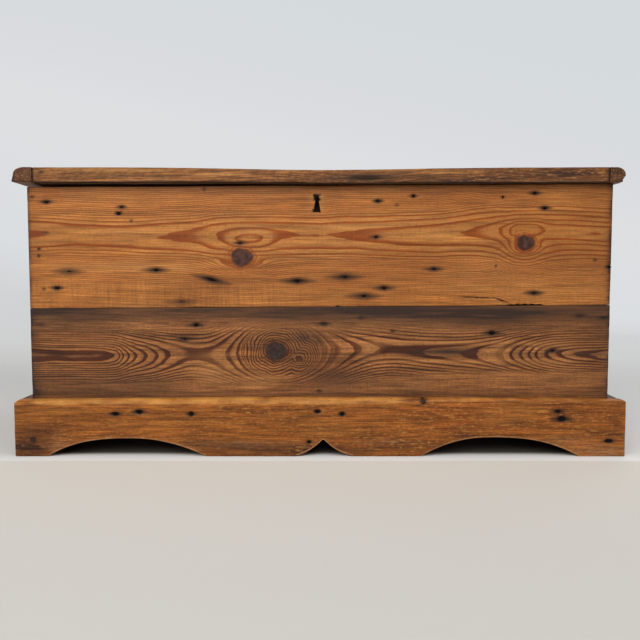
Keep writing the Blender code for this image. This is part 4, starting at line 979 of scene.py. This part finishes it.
def wood_material(name, colours, grain_axis, fibre=0.5, scuffs=0.0, rough=0.5, late=0.0):
    """Old pine: each year's ring is pale, soft wood that darkens and ends sharply, crossed by its own fibres. Its
    layers, from below: the rings, fibres and saw marks, dirt and painted shade, rubbed and scuffed areas with a
    painted highlight, bare wood, flecks, the knots with the grain wrapped round them, iron stains, and nail holes
    and cracks painted near black as their shade over old rust."""
    early, dense, warm, dirt, pale, knot = colours
    rows = [("place", "TexCoord", {}, (), "Object")]
    for number, (label, (along, across, detail, roughness)) in enumerate(WOOD_NOISES.items()):
        scale = [1 / (across * MM)] * 3
        scale[grain_axis] = 1 / (along * MM)
        mapped = ("Mapping", {}, {"Vector": "place", "Scale": scale, "Location": (number * 7.3,) * 3})
        inputs = {"Vector": mapped, "Scale": 1.0, "Detail": detail, "Roughness": roughness}
        rows.append((label, "TexNoise", {}, inputs))
    rows += [(label, "Attribute", {"attribute_name": label}, (), "Fac") for label in READ]
    rows += [
        ("years", "Math", ADD, ("ring", ("MapRange", {}, ("waver", 0.3, 0.7, -0.06, 0.06)))),
        ("phase", "Math", REST, ("years",)),
        ("year", "TexWhiteNoise", {"noise_dimensions": "1D"}, {"W": ("Math", WHOLE, ("years",))}),
        ("outward", "ValToRGB", {}, ("phase",)),
        ("inward", "ValToRGB", {}, ("phase",)),
        ("strength", "Math", TIMES, (("Math", TIMES_ADD, ("year", 0.5, 0.75)), "line")),
        ("dark", "Mix", BLEND, {0: "lean", 6: "outward", 7: "inward"}, 2),
        ("dark", "Math", TIMES, ("dark", "strength")),
        ("dark", "Math", TIMES | CLAMPED, ("dark", ("MapRange", {}, ("fibre", 0.3, 0.7, 0.78, 1.15)))),
        ("wood", "Mix", BLEND, {0: ("MapRange", {}, ("blotch", 0.35, 0.65)), 6: early, 7: warm}, 2),
        ("wood", "Mix", BLEND, {0: "dark", 6: "wood", 7: dense}, 2),
        ("along", "SeparateXYZ", {}, ("place",), grain_axis),
        ("teeth", "Math", TIMES_ADD, ("along", 2 * math.pi / SAW_PITCH, ("Math", TIMES, ("blotch", 30.0)))),
        ("ribs", "MapRange", {}, ("tooth", 0.3, 0.7, -0.16, 0.16)),
        ("ribs", "Math", TIMES_ADD, (("Math", SINE, ("teeth",)), 0.045, "ribs")),
        ("shade", "MapRange", {}, ("fibre", 0.3, 0.7, 1 - fibre, 1 + fibre)),
    ]
    for label, share in (("streak", 0.6 * fibre), ("grit", 0.3 * fibre)):
        rows.append(("shade", "Math", TIMES, ("shade", ("MapRange", {}, (label, 0.3, 0.7, 1 - share, 1 + share)))))
    rows += [
        ("shade", "Math", TIMES, ("shade", ("Math", TIMES_ADD, ("ribs", "saw", 1.0)))),
        ("wood", "Mix", BLEND | {"blend_type": "MULTIPLY"}, {0: 1.0, 6: "wood", 7: "shade"}, 2),
        ("uneven", "Math", TIMES, ("tone", ("MapRange", {}, ("streak", 0.3, 0.7, 0.6, 1.3)))),
        ("dusty", "MapRange", {}, ("scuff", 0.38, 0.60, 0.2, 1.0)),
        ("rim", "ValToRGB", {}, ("heart",)),
        ("wrap", "ValToRGB", {}, ("heart",)),
        ("murk", "Mix", BLEND, {0: 0.5, 6: dirt, 7: linear(RESIN)}, 2),
        ("core", "Mix", BLEND, {0: ("MapRange", {}, ("patch", 0.40, 0.62)), 6: knot, 7: "murk"}, 2),
        ("core", "Mix", BLEND, {0: "rim", 6: "core", 7: dense}, 2),
    ]
    scuffed = ()
    if scuffs:
        rows.append(("gathered", "Math", TIMES, (("MapRange", {}, ("blotch", 0.42, 0.60, 0.25, 1.0)), scuffs)))
        scuffed = (("scuff", 0.55, 0.70), ("fleck", 0.60, 0.74))
    layers = [
        (("Math", TIMES | CLAMPED, ("uneven", 1.0)), dirt),
        (("Math", TIMES | CLAMPED, ("uneven", -1.0)), pale),
        *((("Math", TIMES, (("MapRange", {}, spread), "gathered")), pale) for spread in scuffed),
        (("Math", TIMES, ("bare", "dusty")), linear(DUSTY)),
        (("MapRange", {}, ("fleck", 0.39, 0.31, 0.0, 0.45)), dense),
        (("Math", TIMES, ("wrap", ("MapRange", {}, ("patch", 0.3, 0.5)))), dense),
        (("Math", TIMES | CLAMPED, ("knot", 1.0)), "core"),
        (("Math", TIMES | CLAMPED, ("iron", ("MapRange", {}, ("fibre", 0.3, 0.7, 0.85, 1.2)))), linear(RUST_STAIN)),
        # Painted shade: holes, cracks, gaps and the lid's underside strip go near black.
        ("pit", linear(HOLE_AND_SHADE)),
    ]
    rows += [("wood", "Mix", BLEND, {0: share, 6: "wood", 7: colour}, 2) for share, colour in layers]
    rows += [
        ("height", "Math", TIMES_ADD, ("ribs", "saw", ("Math", TIMES_ADD, ("dark", 0.4, "fibre")))),
        ("bump", "Bump", {}, {"Strength": 0.4, "Distance": 0.3 * MM, "Height": "height"}),
        ("gloss", "MapRange", {}, ("streak", 0.3, 0.7, rough - 0.08, rough + 0.1)),
        ("gloss", "Math", LARGER | CLAMPED, ("gloss", ("Math", LARGER, ("pit", "iron")))),
    ]
    inputs = {
        "Base Color": "wood", "Roughness": "gloss", "Normal": "bump", "IOR": 1.5, "Specular IOR Level": 0.25,
    }
    rows.append(("surface", "OutputMaterial", {}, {"Surface": ("BsdfPrincipled", {}, inputs)}))
    rise = [(place - late, grey) for place, grey in ((0.45, 0.0), (0.64, 0.14), (0.74, 0.55), (0.86, 0.85))]
    fall = [(place + late, grey) for place, grey in ((0.14, 0.85), (0.26, 0.55), (0.36, 0.14), (0.55, 0.0))]
    ramps = (
        ("outward", ((0.0, 0.0), *rise, (0.97, 1.0), (1.0, 0.0))),
        ("inward", ((0.0, 0.0), (0.03, 1.0), *fall, (1.0, 0.0))),
        ("rim", KNOT_RIM),
        ("wrap", KNOT_WRAP),
    )
    return build_tree(bpy.data.materials.new(name), rows, ramps)


# The colours of each wood: early wood, late wood, warmer early wood, dirt, rubbed pale, knot
WOODS = {
    # Front upper board: pine sawn by hand and waxed for a century, honey brown, satin, fibres felt under the wax
    "waxed_old_pine": (
        ("#B5773B", "#883F0C", "#A5672E", "#4A2A1A", "#C89458", "#54342A"), {"fibre": 0.34, "late": 0.06},
    ),
    # Front lower board: the same pine gone grey-brown, its hard lines nearly black, dull where the wax is gone
    "dark_weathered_pine": (
        ("#9A6437", "#4A220E", "#86542C", "#36251C", "#BC824A", "#3E2C25"),
        {"rough": 0.56, "fibre": 0.52, "late": 0.10},
    ),
    # Plinth: orange-brown wax knocked and rubbed by feet and brooms, so pale flecks show bare wood
    "scuffed_plinth_pine": (
        ("#98591F", "#5A2D0C", "#874A19", "#32190E", "#C98B42", "#3A2418"),
        {"scuffs": 0.62, "rough": 0.54, "fibre": 0.58},
    ),
    # Lid: wax worn thin by hands, greyer and duller than the front
    "worn_lid_pine": (
        ("#8E5A2E", "#462711", "#7E4D24", "#40261B", "#BC854C", "#36241A"),
        {"rough": 0.58, "scuffs": 0.5, "fibre": 0.5},
    ),
    # Inside, back and underside: never waxed, dry and pale, rough from the saw
    "raw_inner_pine": (
        ("#AB8462", "#7B5438", "#9B7253", "#574236", "#C0A07E", "#523A2C"), {"rough": 0.74, "fibre": 0.42},
    ),
}


def wood(name, grain_axis):
    """The finish with this name, with its fibres along this axis, made when it is first asked for."""
    full_name = name + "_" + "xyz"[grain_axis]
    found = bpy.data.materials.get(full_name)
    if found:
        return found
    codes, settings = WOODS[name]
    colours = [linear(code) for code in codes]
    colours[0] = tuple(getattr(bpy.context.scene.chest_colours, name))
    return wood_material(full_name, colours, grain_axis, **settings)


# Irons: the colour of the metal and of its rust, where the rust starts, how rough the metal is, its shine
IRONS = {
    # Old blacksmith's iron, brown-black with rust
    "aged_iron": ("#3A3532", "#2F2019", 0.40, 0.55, 0.5),
    # Nails struck below the wood, black with rust and soot
    "nail_iron": ("#1A1614", "#1C120D", 0.44, 0.75, 0.1),
    # Drawn spring steel, grey and half bright, with rust specks
    "spring_steel": ("#76736E", "#5A3F2E", 0.60, 0.36, 0.5),
}


def iron(name):
    """Wrought iron left to rust: dull grey metal that shows between brown, powdery patches a few mm across. Made
    when its name is first asked for."""
    found = bpy.data.materials.get(name)
    if found:
        return found
    metal, rust, rust_from, rough, shine = IRONS[name]
    inputs = {
        "Base Color": ("Mix", BLEND, {0: "rusty", 6: linear(metal), 7: linear(rust)}, 2),
        "Metallic": ("Math", LESS, (1.0, "rusty")),
        "Roughness": ("MapRange", {}, ("rusty", 0.0, 1.0, rough, 0.85)),
        "Normal": ("Bump", {}, {"Strength": 0.4, "Distance": 0.2 * MM, "Height": "height"}),
        "Specular IOR Level": shine,
    }
    rows = (
        ("place", "TexCoord", {}, (), "Object"),
        ("patches", "TexNoise", {}, {"Vector": "place", "Scale": 1 / (7 * MM), "Detail": 5.0, "Roughness": 0.65}),
        ("grit", "TexNoise", {}, {"Vector": "place", "Scale": 1 / (0.8 * MM), "Detail": 2.0}),
        ("rusty", "MapRange", {}, ("patches", rust_from, rust_from + 0.12)),
        ("height", "Math", TIMES_ADD, ("grit", 0.4, "patches")),
        ("surface", "OutputMaterial", {}, {"Surface": ("BsdfPrincipled", {}, inputs)}),
    )
    return build_tree(bpy.data.materials.new(name), rows)


# The chest's boards, by group. Each row: board, its finish, the finish of its inner face


def front_boards():
    """The two boards that the photo shows."""
    upper = Board(
        "front_upper_board", 0, 2, 1, 1, UPPER_LOG, (2.9, 1.4), from_low=False, outline=upper_outline, cut=True,
        marks=pixel_marks(UPPER_MARKS, CARCASS_FACE), tones=upper_tones,
        rounds=((0.8, 1.8, 0.6), (0.8, 1.8, 1.8)),
    )
    lower = Board(
        "front_lower_board", 0, 2, 1, 1, LOWER_LOG, (2.9, 1.4), from_low=False, outline=lower_outline,
        marks=pixel_marks(LOWER_MARKS, CARCASS_FACE), tones=lower_tones,
        rounds=((0.8, 1.8, 1.6), (0.8, 1.8, 0.6)),
    )
    return [(upper, "waxed_old_pine", "raw_inner_pine"), (lower, "dark_weathered_pine", "raw_inner_pine")]


def nail_rows(alongs, acrosses, inwards=0.45):
    """Nails at every pair of places along and across a board, in mm from its corner, with their depth."""
    return np.array([(a, b, inwards) for a in alongs for b in acrosses], float)


def plain_board(node, along, across, through, inward, seed, knots=2, stains=3, nails=None, **extra):
    """A board whose log is seeded, with a few knots, old stains and iron stains round its nails."""
    low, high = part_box(node)
    length, width = (high[along] - low[along]) / MM, (high[across] - low[across]) / MM
    rng = np.random.default_rng(seed)
    places = [(rng.uniform(0.1, 0.9), rng.uniform(0.2, 0.8), rng.uniform(4, 9)) for _ in range(knots)]
    log = sawn_log(seed, length, width, rng.uniform(0.25, 0.75), rng.uniform(28, 70), places)
    marks = scattered_marks(seed + 9, stains, length, width)
    marks[:, 2:4] = 0  # the holes of these are filled
    if nails is not None:
        rows = [(u, v, 0, 0, rng.uniform(5, 11), rng.uniform(2.4, 3.6), 0.85, 0) for u, v, _ in nails]
        marks = np.concatenate([marks, np.array(rows)])
    return Board(node, along, across, through, inward, log, marks=marks, nails=nails, **extra)


def carcass_boards():
    """The boards of the two sides and the back. The left side's top falls towards the front."""
    rows = []
    sides = (("left_side_upper", 1), ("left_side_lower", 1), ("right_side_upper", -1), ("right_side_lower", -1))
    for number, (place, inward) in enumerate(sides):
        outline = left_side_outline if number == 0 else None
        side = plain_board(
            place + "_board", 1, 2, 0, inward, 11 + number, outline=outline, tones=plain_tones,
            rounds=((2.0, 1.6, 0.7),) * 2,
        )
        rows.append((side, "waxed_old_pine", "raw_inner_pine"))
    nails = nail_rows((10, 871), (28, 92, 150))
    for number, place in enumerate(("back_upper", "back_lower")):
        back = plain_board(
            place + "_board", 0, 2, 1, -1, 15 + number, cut=number == 0, nails=nails, tones=raw_tones
        )
        rows.append((back, "raw_inner_pine", "raw_inner_pine"))
    return rows


def bottom_boards():
    """Four boards from front to back, nailed up under the carcass."""
    nails = nail_rows((10, 415), (40, 110, 180))
    boards = [
        plain_board(f"bottom_board_{number}", 1, 0, 2, 1, 16 + number, nails=nails, tones=raw_tones)
        for number in (1, 2, 3, 4)
    ]
    return [(board, "raw_inner_pine", "raw_inner_pine") for board in boards]


def plinth_boards():
    """The plinth's front and rails, and the glue blocks behind their corners."""
    knots = ((0.030, 0.29, 5.2), (0.669, 0.955, 4.8))
    log = sawn_log(31, 2 * HALF_LENGTH, 88, 0.6, 75, knots, -HALF_LENGTH)
    front = Board(
        "plinth_front", 0, 2, 1, 1, log, (2.5, 1.4), from_low=False, outline=plinth_outline,
        marks=pixel_marks(PLINTH_MARKS, PLINTH_FACE), tones=plinth_tones,
        rounds=((1.6, 1.2, 1.2),) * 2,
    )
    nails = nail_rows((18, 150, 285, 410), (58,))
    rails = [
        plain_board(
            node, 1, 2, 0, inward, seed, nails=nails, outline=rail_outline, fine=(4.0, 1.8), tones=rail_tones,
            rounds=((1.2, 1.2, 1.2),) * 2,
        )
        for node, inward, seed in (("plinth_left", 1, 32), ("plinth_right", -1, 33))
    ]
    rows = [(board, "scuffed_plinth_pine", "scuffed_plinth_pine") for board in (front, *rails)]
    for number, place in enumerate(("front_left", "front_right", "back_left", "back_right")):
        block = plain_board("plinth_block_" + place, 2, 0, 1, 1, 34 + number, knots=0, stains=1, tones=raw_tones)
        rows.append((block, "raw_inner_pine", "raw_inner_pine"))
    return rows


def lid_boards():
    """Three boards, of which the front one sags, and the cleats at their ends."""
    worn = "worn_lid_pine"
    rows = []
    for number in (1, 2, 3):
        front = {"tones": lid_front_tones, "bend": lid_sag, "fine": (3.6, 2.4, 1.5)} if number == 1 else {}
        shape = {"tones": lid_tones, "fine": (4.4, 2.4), "rounds": ((1.6, 2.2, 2.2),) * 2, **front}
        board = plain_board(
            f"lid_board_{number}", 0, 1, 2, -1, 40 + number, knots=3, stains=4, cut=number != 2, **shape
        )
        rows.append((board, worn, "raw_inner_pine"))
    nails = nail_rows((26, 118, 190, 262, 338, 428), (8.5,), 1.6)
    for side, inward, outline, seed in (("left", 1, left_cleat_outline, 45), ("right", -1, right_cleat_outline, 46)):
        board = plain_board(
            f"lid_{side}_cleat", 1, 2, 0, inward, seed, knots=0, stains=1, nails=nails, outline=outline,
            tones=cleat_tones, fine=(4.0, 1.3), rounds=((1.4, 1.6, 1.4), (1.4, 1.6, 1.0)),
        )
        rows.append((board, worn, worn))
    return rows


# Nails


def marks_as_nails(board, sizes):
    """Nails sunk in the holes that were read off the photo: place in the board, and half sizes, all in mm."""
    found = board.marks[(board.marks[:, 2] > 1.9) & (board.marks[:, 6] > 0.7)]
    deep = np.full(len(found), 0.72 * sizes.hole_depth / MM)
    half = sizes.nail_head / MM / 2
    return (
        np.stack([found[:, 0], found[:, 1], deep], -1),
        np.stack([np.minimum(found[:, 2] * 0.7, half), np.minimum(found[:, 3] * 0.75, half), deep * 0 + 0.5], -1),
    )


def nail_head_piece(name, boards, body, sizes):
    """Hand-forged heads: one small eased block each, a little different from nail to nail."""
    unit, quads = box_lattice(*[grid_lines(-1, 1, 0.45, 0.45, 0.7)] * 3)
    unit = ease_edges(unit, np.full(3, -1.0), np.full(3, 1.0), np.full(3, 0.45), np.full(3, 0.45))
    all_points, all_quads = [], []
    for board in boards:
        if board.nails is None:
            places, halves = marks_as_nails(board, sizes)
        else:
            places = board.nails
            half = sizes.nail_head / MM / 2
            halves = np.tile((half, half * 0.85, 0.36), (len(places), 1))
        rng = np.random.default_rng(board.seed + 5)
        halves = halves * rng.uniform(0.8, 1.1, halves.shape)
        start = board.low / MM if board.from_low else np.zeros(3)
        for place, half in zip(places, halves):
            points = np.empty_like(unit)
            points[:, board.along] = start[board.along] + place[0] + unit[:, board.along] * half[0]
            points[:, board.across] = start[board.across] + place[1] + unit[:, board.across] * half[1]
            middle = board.face / MM + board.inward * place[2]
            points[:, board.through] = middle + unit[:, board.through] * half[2]
            all_quads.append(quads + len(unit) * len(all_points))
            all_points.append(points * MM)
    piece = link(name, new_mesh(name, np.concatenate(all_points), np.concatenate(all_quads)))
    piece.data.materials.append(iron("nail_iron"))
    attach(piece, body)


# Stage


# The backdrop in metres: where its floor begins and starts to bend up, the bend's radius, its top, half its width
FLOOR_FRONT, BEND_START, BEND_RADIUS, WALL_TOP, STAGE_REACH = -3.4, 2.0, 0.6, 3.6, 9.0


def sweep_path():
    """Floor from front to back, a quarter circle, then the wall: y and z in metres."""
    angle = np.linspace(0, math.pi / 2, 13)[1:-1]
    floor, wall = np.linspace(FLOOR_FRONT, BEND_START, 28), np.linspace(BEND_RADIUS, WALL_TOP, 12)
    y = np.concatenate([floor, BEND_START + BEND_RADIUS * np.sin(angle), wall * 0 + BEND_START + BEND_RADIUS])
    z = np.concatenate([floor * 0, BEND_RADIUS - BEND_RADIUS * np.cos(angle), wall])
    return y, z


# How the painted wall, which glows for the camera and is not lit, changes with the way gone up it, as a share of
# its whole way in metres: darkest at the start, as painted shade of the chest on the floor just behind it
WALL_WAY = 4.5
HORIZON = "#D5DBDC"
WALL_GLOW_TONES = (
    (0.0, "#BABAB7"), (0.05, "#BABAB7"), (0.115, "#C4C4C2"), (0.28, "#CECFCF"), (0.50, "#D1D2D3"), (0.60, "#DBDEE1"),
    (0.79, "#DEDFE1"), (0.87, "#D9DBDF"), (1.0, HORIZON),
)


def stage_material(colours):
    """Painted board: matt, warm white underfoot and cooler behind. What lies well behind the chest glows for the
    camera at its painted tone, not lit, by the way gone along the floor and up the wall. The floor has painted light
    before the chest, at its foot and to the right behind it, and painted shade under it."""
    rows = [("place", "TexCoord", {}, (), "Object")]
    rows += [(axis, "SeparateXYZ", {}, ("place",), axis) for axis in "XYZ"]
    rows += [(kind, "LightPath", {}, (), f"Is {kind} Ray") for kind in ("Camera", "Glossy", "Transmission")]
    rows += [
        ("way", "Math", ADD, ("Y", "Z")),
        ("beside", "Math", SIZE, ("X",)),
        ("aside", "MapRange", {}, ("beside", 0.475, 0.62)),
        ("behind", "Math", LARGER, (("MapRange", {}, ("way", -0.2575, -0.2490)), "aside")),
        # Painted light: the floor behind and beside the chest is brightened towards the right.
        ("right", "Math", TIMES, (("MapRange", {}, ("X", 0.2, 0.6, 0.0, 0.35)), "behind")),
        # Painted light: a near white strip on the floor at the chest's foot, under its arches and just beside it.
        ("strip", "Math", TIMES, (("MapRange", {}, ("way", -0.249, -0.205, 0.45, 0.0)), "behind")),
        ("strip", "Math", TIMES, ("strip", ("Math", LESS, (1.0, "aside")))),
        # Painted shade: the floor under the chest is painted darker, on top of the lamps' shadow there.
        ("under", "MapRange", {}, ("beside", 0.46, 0.40)),
        ("under", "Math", TIMES, ("under", ("MapRange", {}, ("Y", -0.220, -0.204)))),
        ("under", "Math", TIMES, ("under", ("MapRange", {}, ("Y", 0.22, 0.16)))),
    ]
    floors = (
        # Painted light: the floor grows lighter towards the chest, where its shadow falls.
        (("MapRange", {}, ("way", -0.75, -0.23)), tuple(colours.floor_near)),
        ("behind", tuple(colours.floor_behind)),
        # Painted light at the right.
        ("right", linear("#F2F4F5")),
        # Painted light at the chest's foot.
        ("strip", linear("#FFFEFB")),
        # Painted shade under the chest.
        ("under", tuple(colours.floor_under)),
    )
    below = tuple(colours.floor)
    for share, colour in floors:
        rows.append(("floor", "Mix", BLEND, {0: share, 6: below, 7: colour}, 2))
        below = "floor"
    rows += [
        ("tilted", "Math", TIMES_ADD, ("X", 0.22, "way")),
        ("wall", "ValToRGB", {}, (("MapRange", {}, ("tilted", 0.0, WALL_WAY)),)),
        ("seen", "Math", LARGER, (("Math", LARGER, ("Camera", "Glossy")), "Transmission")),
        ("ends", "MapRange", {}, ("beside", 1.6, 4.0)),
        ("rim", "Math", LARGER, ("ends", ("MapRange", {}, ("way", -1.0, -2.6)))),
        ("far", "Math", LARGER, (("MapRange", {}, ("way", 0.25, 0.9)), "rim")),
        ("shown", "Mix", BLEND, {0: "rim", 6: "wall", 7: linear(HORIZON)}, 2),
        ("share", "Math", TIMES, ("seen", "far")),
        ("matt", "BsdfDiffuse", {}, {"Color": "floor"}),
        # The camera sees the far floor and the wall as this glow: painted tones with painted shade, no lamp.
        ("glow", "Emission", {}, {"Color": "shown", "Strength": 1.0}),
        ("surface", "OutputMaterial", {}, {"Surface": ("MixShader", {}, ("share", "matt", "glow"))}),
    ]
    stops = [(place, linear(code)) for place, code in WALL_GLOW_TONES]
    return build_tree(bpy.data.materials.new("painted_backdrop"), rows, (("wall", stops),))


# Area lamps: name, place, where it points, width and height, watts, colour
LAMPS = (
    ("front_light", (-0.7, -2.3, 1.8), (0, 0, 0.25), (2.8, 1.8), 56, (1.0, 0.985, 0.96)),
    ("top_light", (0.4, -1.1, 2.4), (0, -0.1, 0.3), (2.4, 2.0), 22, (0.97, 0.985, 1.0)),
    ("back_light", (0.9, 1.9, 2.1), (0, 0, 0.2), (2.4, 1.6), 14, (0.97, 0.985, 1.0)),
)


def soft_light(name, place, target, size, watts, colour):
    """A wide area lamp turned to a point."""
    lamp = bpy.data.lights.new(name, "AREA")
    lamp.shape, lamp.size, lamp.size_y = "RECTANGLE", *size
    lamp.energy, lamp.color = watts, colour
    holder = bpy.data.objects.new(name, lamp)
    bpy.context.scene.collection.objects.link(holder)
    holder.location = place
    holder.visible_camera = False
    direction = np.array(target, float) - np.array(place, float)
    flat = math.hypot(direction[0], direction[1])
    holder.rotation_euler = (math.atan2(flat, -direction[2]), 0, math.atan2(-direction[0], direction[1]))


def make_camera():
    """The camera as solved from the photo."""
    lens = bpy.data.cameras.new("photo_camera")
    lens.lens, lens.sensor_width = LENS, SENSOR
    camera = bpy.data.objects.new("photo_camera", lens)
    bpy.context.scene.collection.objects.link(camera)
    camera.location = CAMERA_PLACE
    camera.rotation_euler = (math.radians(90 - PITCH_DEG), 0, 0)
    bpy.context.scene.camera = camera


# What a user may change


def length_property(name, description, default, least=0.0):
    """A length that the user may change."""
    return FloatProperty(
        name=name, description=description, default=default, min=least, unit="LENGTH", subtype="DISTANCE"
    )


def colour_property(name, code):
    """A colour that the user may change."""
    return FloatVectorProperty(
        name=name, description=name + ", as painted or waxed", default=linear(code), size=4, subtype="COLOR", min=0,
        max=1,
    )


class ChestSizes(bpy.types.PropertyGroup):
    wave: length_property("Wave", "How deep the slow waves in the boards' faces are", 0.25 * MM)
    hole_depth: length_property("Nail hole", "How deep the old nails are sunk in the front", 1.4 * MM)
    nail_head: length_property("Nail head", "Width of a nail's head", 4.4 * MM, 1 * MM)
    arris: length_property("Arris", "Rounding of edges where nothing else is given", 2.0 * MM, 0.5 * MM)


class ChestColours(bpy.types.PropertyGroup):
    waxed_old_pine: colour_property("Front and sides", WOODS["waxed_old_pine"][0][0])
    dark_weathered_pine: colour_property("Front lower board", WOODS["dark_weathered_pine"][0][0])
    scuffed_plinth_pine: colour_property("Plinth", WOODS["scuffed_plinth_pine"][0][0])
    worn_lid_pine: colour_property("Lid", WOODS["worn_lid_pine"][0][0])
    raw_inner_pine: colour_property("Bare inside", WOODS["raw_inner_pine"][0][0])
    floor: colour_property("Floor", "#CDCAC5")
    # Painted light on the floor before the chest.
    floor_near: colour_property("Floor before the chest", "#E2DED5")
    floor_behind: colour_property("Floor behind", "#DBDAD7")
    # Painted shade on the floor under the chest.
    floor_under: colour_property("Floor under the chest", "#6A6660")


# Operators


class BoardMaker:
    """What the operators that make boards share: the functions that list the boards, and the body these ride on."""

    body = "carcass"

    def execute(self, context):
        for boards in self.groups:
            for board, finish, inner in boards():
                make_board(board, finish, inner, self.body, context.scene.chest_sizes)
        return {"FINISHED"}


class CHEST_OT_front(BoardMaker, bpy.types.Operator):
    """Make the two front boards with their grain, nail holes and stains"""

    bl_idname = "chest.front"
    bl_label = "Front boards"
    groups = (front_boards,)


class CHEST_OT_carcass(BoardMaker, bpy.types.Operator):
    """Make the sides, the back and the bottom boards"""

    bl_idname = "chest.carcass"
    bl_label = "Sides, back and bottom"
    groups = (carcass_boards, bottom_boards)


class CHEST_OT_plinth(BoardMaker, bpy.types.Operator):
    """Make the plinth, cut in arches, and its glue blocks"""

    bl_idname = "chest.plinth"
    bl_label = "Plinth"
    groups = (plinth_boards,)


class CHEST_OT_lid(BoardMaker, bpy.types.Operator):
    """Make the lid's boards and cleats"""

    bl_idname = "chest.lid"
    bl_label = "Lid"
    groups = (lid_boards,)
    body = "lid"


class CHEST_OT_nails(bpy.types.Operator):
    """Make the heads of the nails, one piece for each group of boards"""

    bl_idname = "chest.nails"
    bl_label = "Nails"

    def execute(self, context):
        groups = (
            ("front_nails", front_boards, "carcass"),
            ("back_nails", carcass_boards, "carcass"),
            ("bottom_nails", bottom_boards, "carcass"),
            ("plinth_nails", plinth_boards, "carcass"),
            ("cleat_nails", lid_boards, "lid"),
        )
        for name, list_boards, body in groups:
            boards = [board for board, _, _ in list_boards() if board.nails is not None or not board.from_low]
            nail_head_piece(name, boards, body, context.scene.chest_sizes)
        return {"FINISHED"}


class CHEST_OT_iron(bpy.types.Operator):
    """Give the hinges, the lock and the screws their iron, and the bolt's spring its steel"""

    bl_idname = "chest.iron"
    bl_label = "Ironwork"

    def execute(self, context):
        for name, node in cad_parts.items():
            if node.hide_render:
                continue
            node.data.materials.clear()
            node.data.materials.append(iron("spring_steel" if name == "lock_spring" else "aged_iron"))
        return {"FINISHED"}


class CHEST_OT_stage(bpy.types.Operator):
    """Make the floor, the backdrop, the lights and the camera"""

    bl_idname = "chest.stage"
    bl_label = "Stage"

    def execute(self, context):
        y, z = sweep_path()
        x = np.linspace(-STAGE_REACH, STAGE_REACH, 73)
        grid = np.stack([np.tile(x, len(y)), np.repeat(y, len(x)), np.repeat(z, len(x))], -1)
        ids = np.arange(len(grid)).reshape(len(y), len(x))
        quads = np.stack([ids[:-1, :-1], ids[:-1, 1:], ids[1:, 1:], ids[1:, :-1]], -1).reshape(-1, 4)
        sweep = link("backdrop", new_mesh("backdrop", grid, quads))
        sweep.data.materials.append(stage_material(context.scene.chest_colours))
        for lamp in LAMPS:
            soft_light(*lamp)
        rows = (
            ("seen", "LightPath", {}, (), "Is Camera Ray"),
            ("light", "Background", {}, {"Color": (0.93, 0.96, 1.0, 1), "Strength": 0.26}),
            ("shown", "Background", {}, {"Color": linear(HORIZON), "Strength": 1.0}),
            ("surface", "OutputWorld", {}, {"Surface": ("MixShader", {}, ("seen", "light", "shown"))}),
        )
        context.scene.world = build_tree(bpy.data.worlds.new("studio"), rows)
        context.scene.view_settings.view_transform = "Standard"
        make_camera()
        return {"FINISHED"}


class CHEST_PT_panel(bpy.types.Panel):
    """The chest's sizes and colours, and what makes each of its groups"""

    bl_label = "Pine Blanket Chest"
    bl_idname = "CHEST_PT_panel"
    bl_space_type = "VIEW_3D"
    bl_region_type = "UI"
    bl_category = "Chest"

    def draw(self, context):
        for group in (context.scene.chest_sizes, context.scene.chest_colours):
            box = self.layout.box()
            for name in group.__annotations__:
                box.prop(group, name)
        for operator in OPERATORS:
            self.layout.operator(operator.bl_idname)


OPERATORS = (
    CHEST_OT_front,
    CHEST_OT_carcass,
    CHEST_OT_plinth,
    CHEST_OT_lid,
    CHEST_OT_nails,
    CHEST_OT_iron,
    CHEST_OT_stage,
)
CLASSES = (ChestSizes, ChestColours, *OPERATORS, CHEST_PT_panel)


def register():
    """Registers the classes and gives the scene its settings."""
    for made in CLASSES:
        bpy.utils.register_class(made)
    bpy.types.Scene.chest_sizes = PointerProperty(type=ChestSizes)
    bpy.types.Scene.chest_colours = PointerProperty(type=ChestColours)


def unregister():
    """Takes the settings and the classes away again."""
    del bpy.types.Scene.chest_colours
    del bpy.types.Scene.chest_sizes
    for made in reversed(CLASSES):
        bpy.utils.unregister_class(made)


def main():
    """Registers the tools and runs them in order."""
    register()
    for operator in OPERATORS:
        group, name = operator.bl_idname.split(".")
        getattr(getattr(bpy.ops, group), name)()


if __name__ == "__main__":
    main()
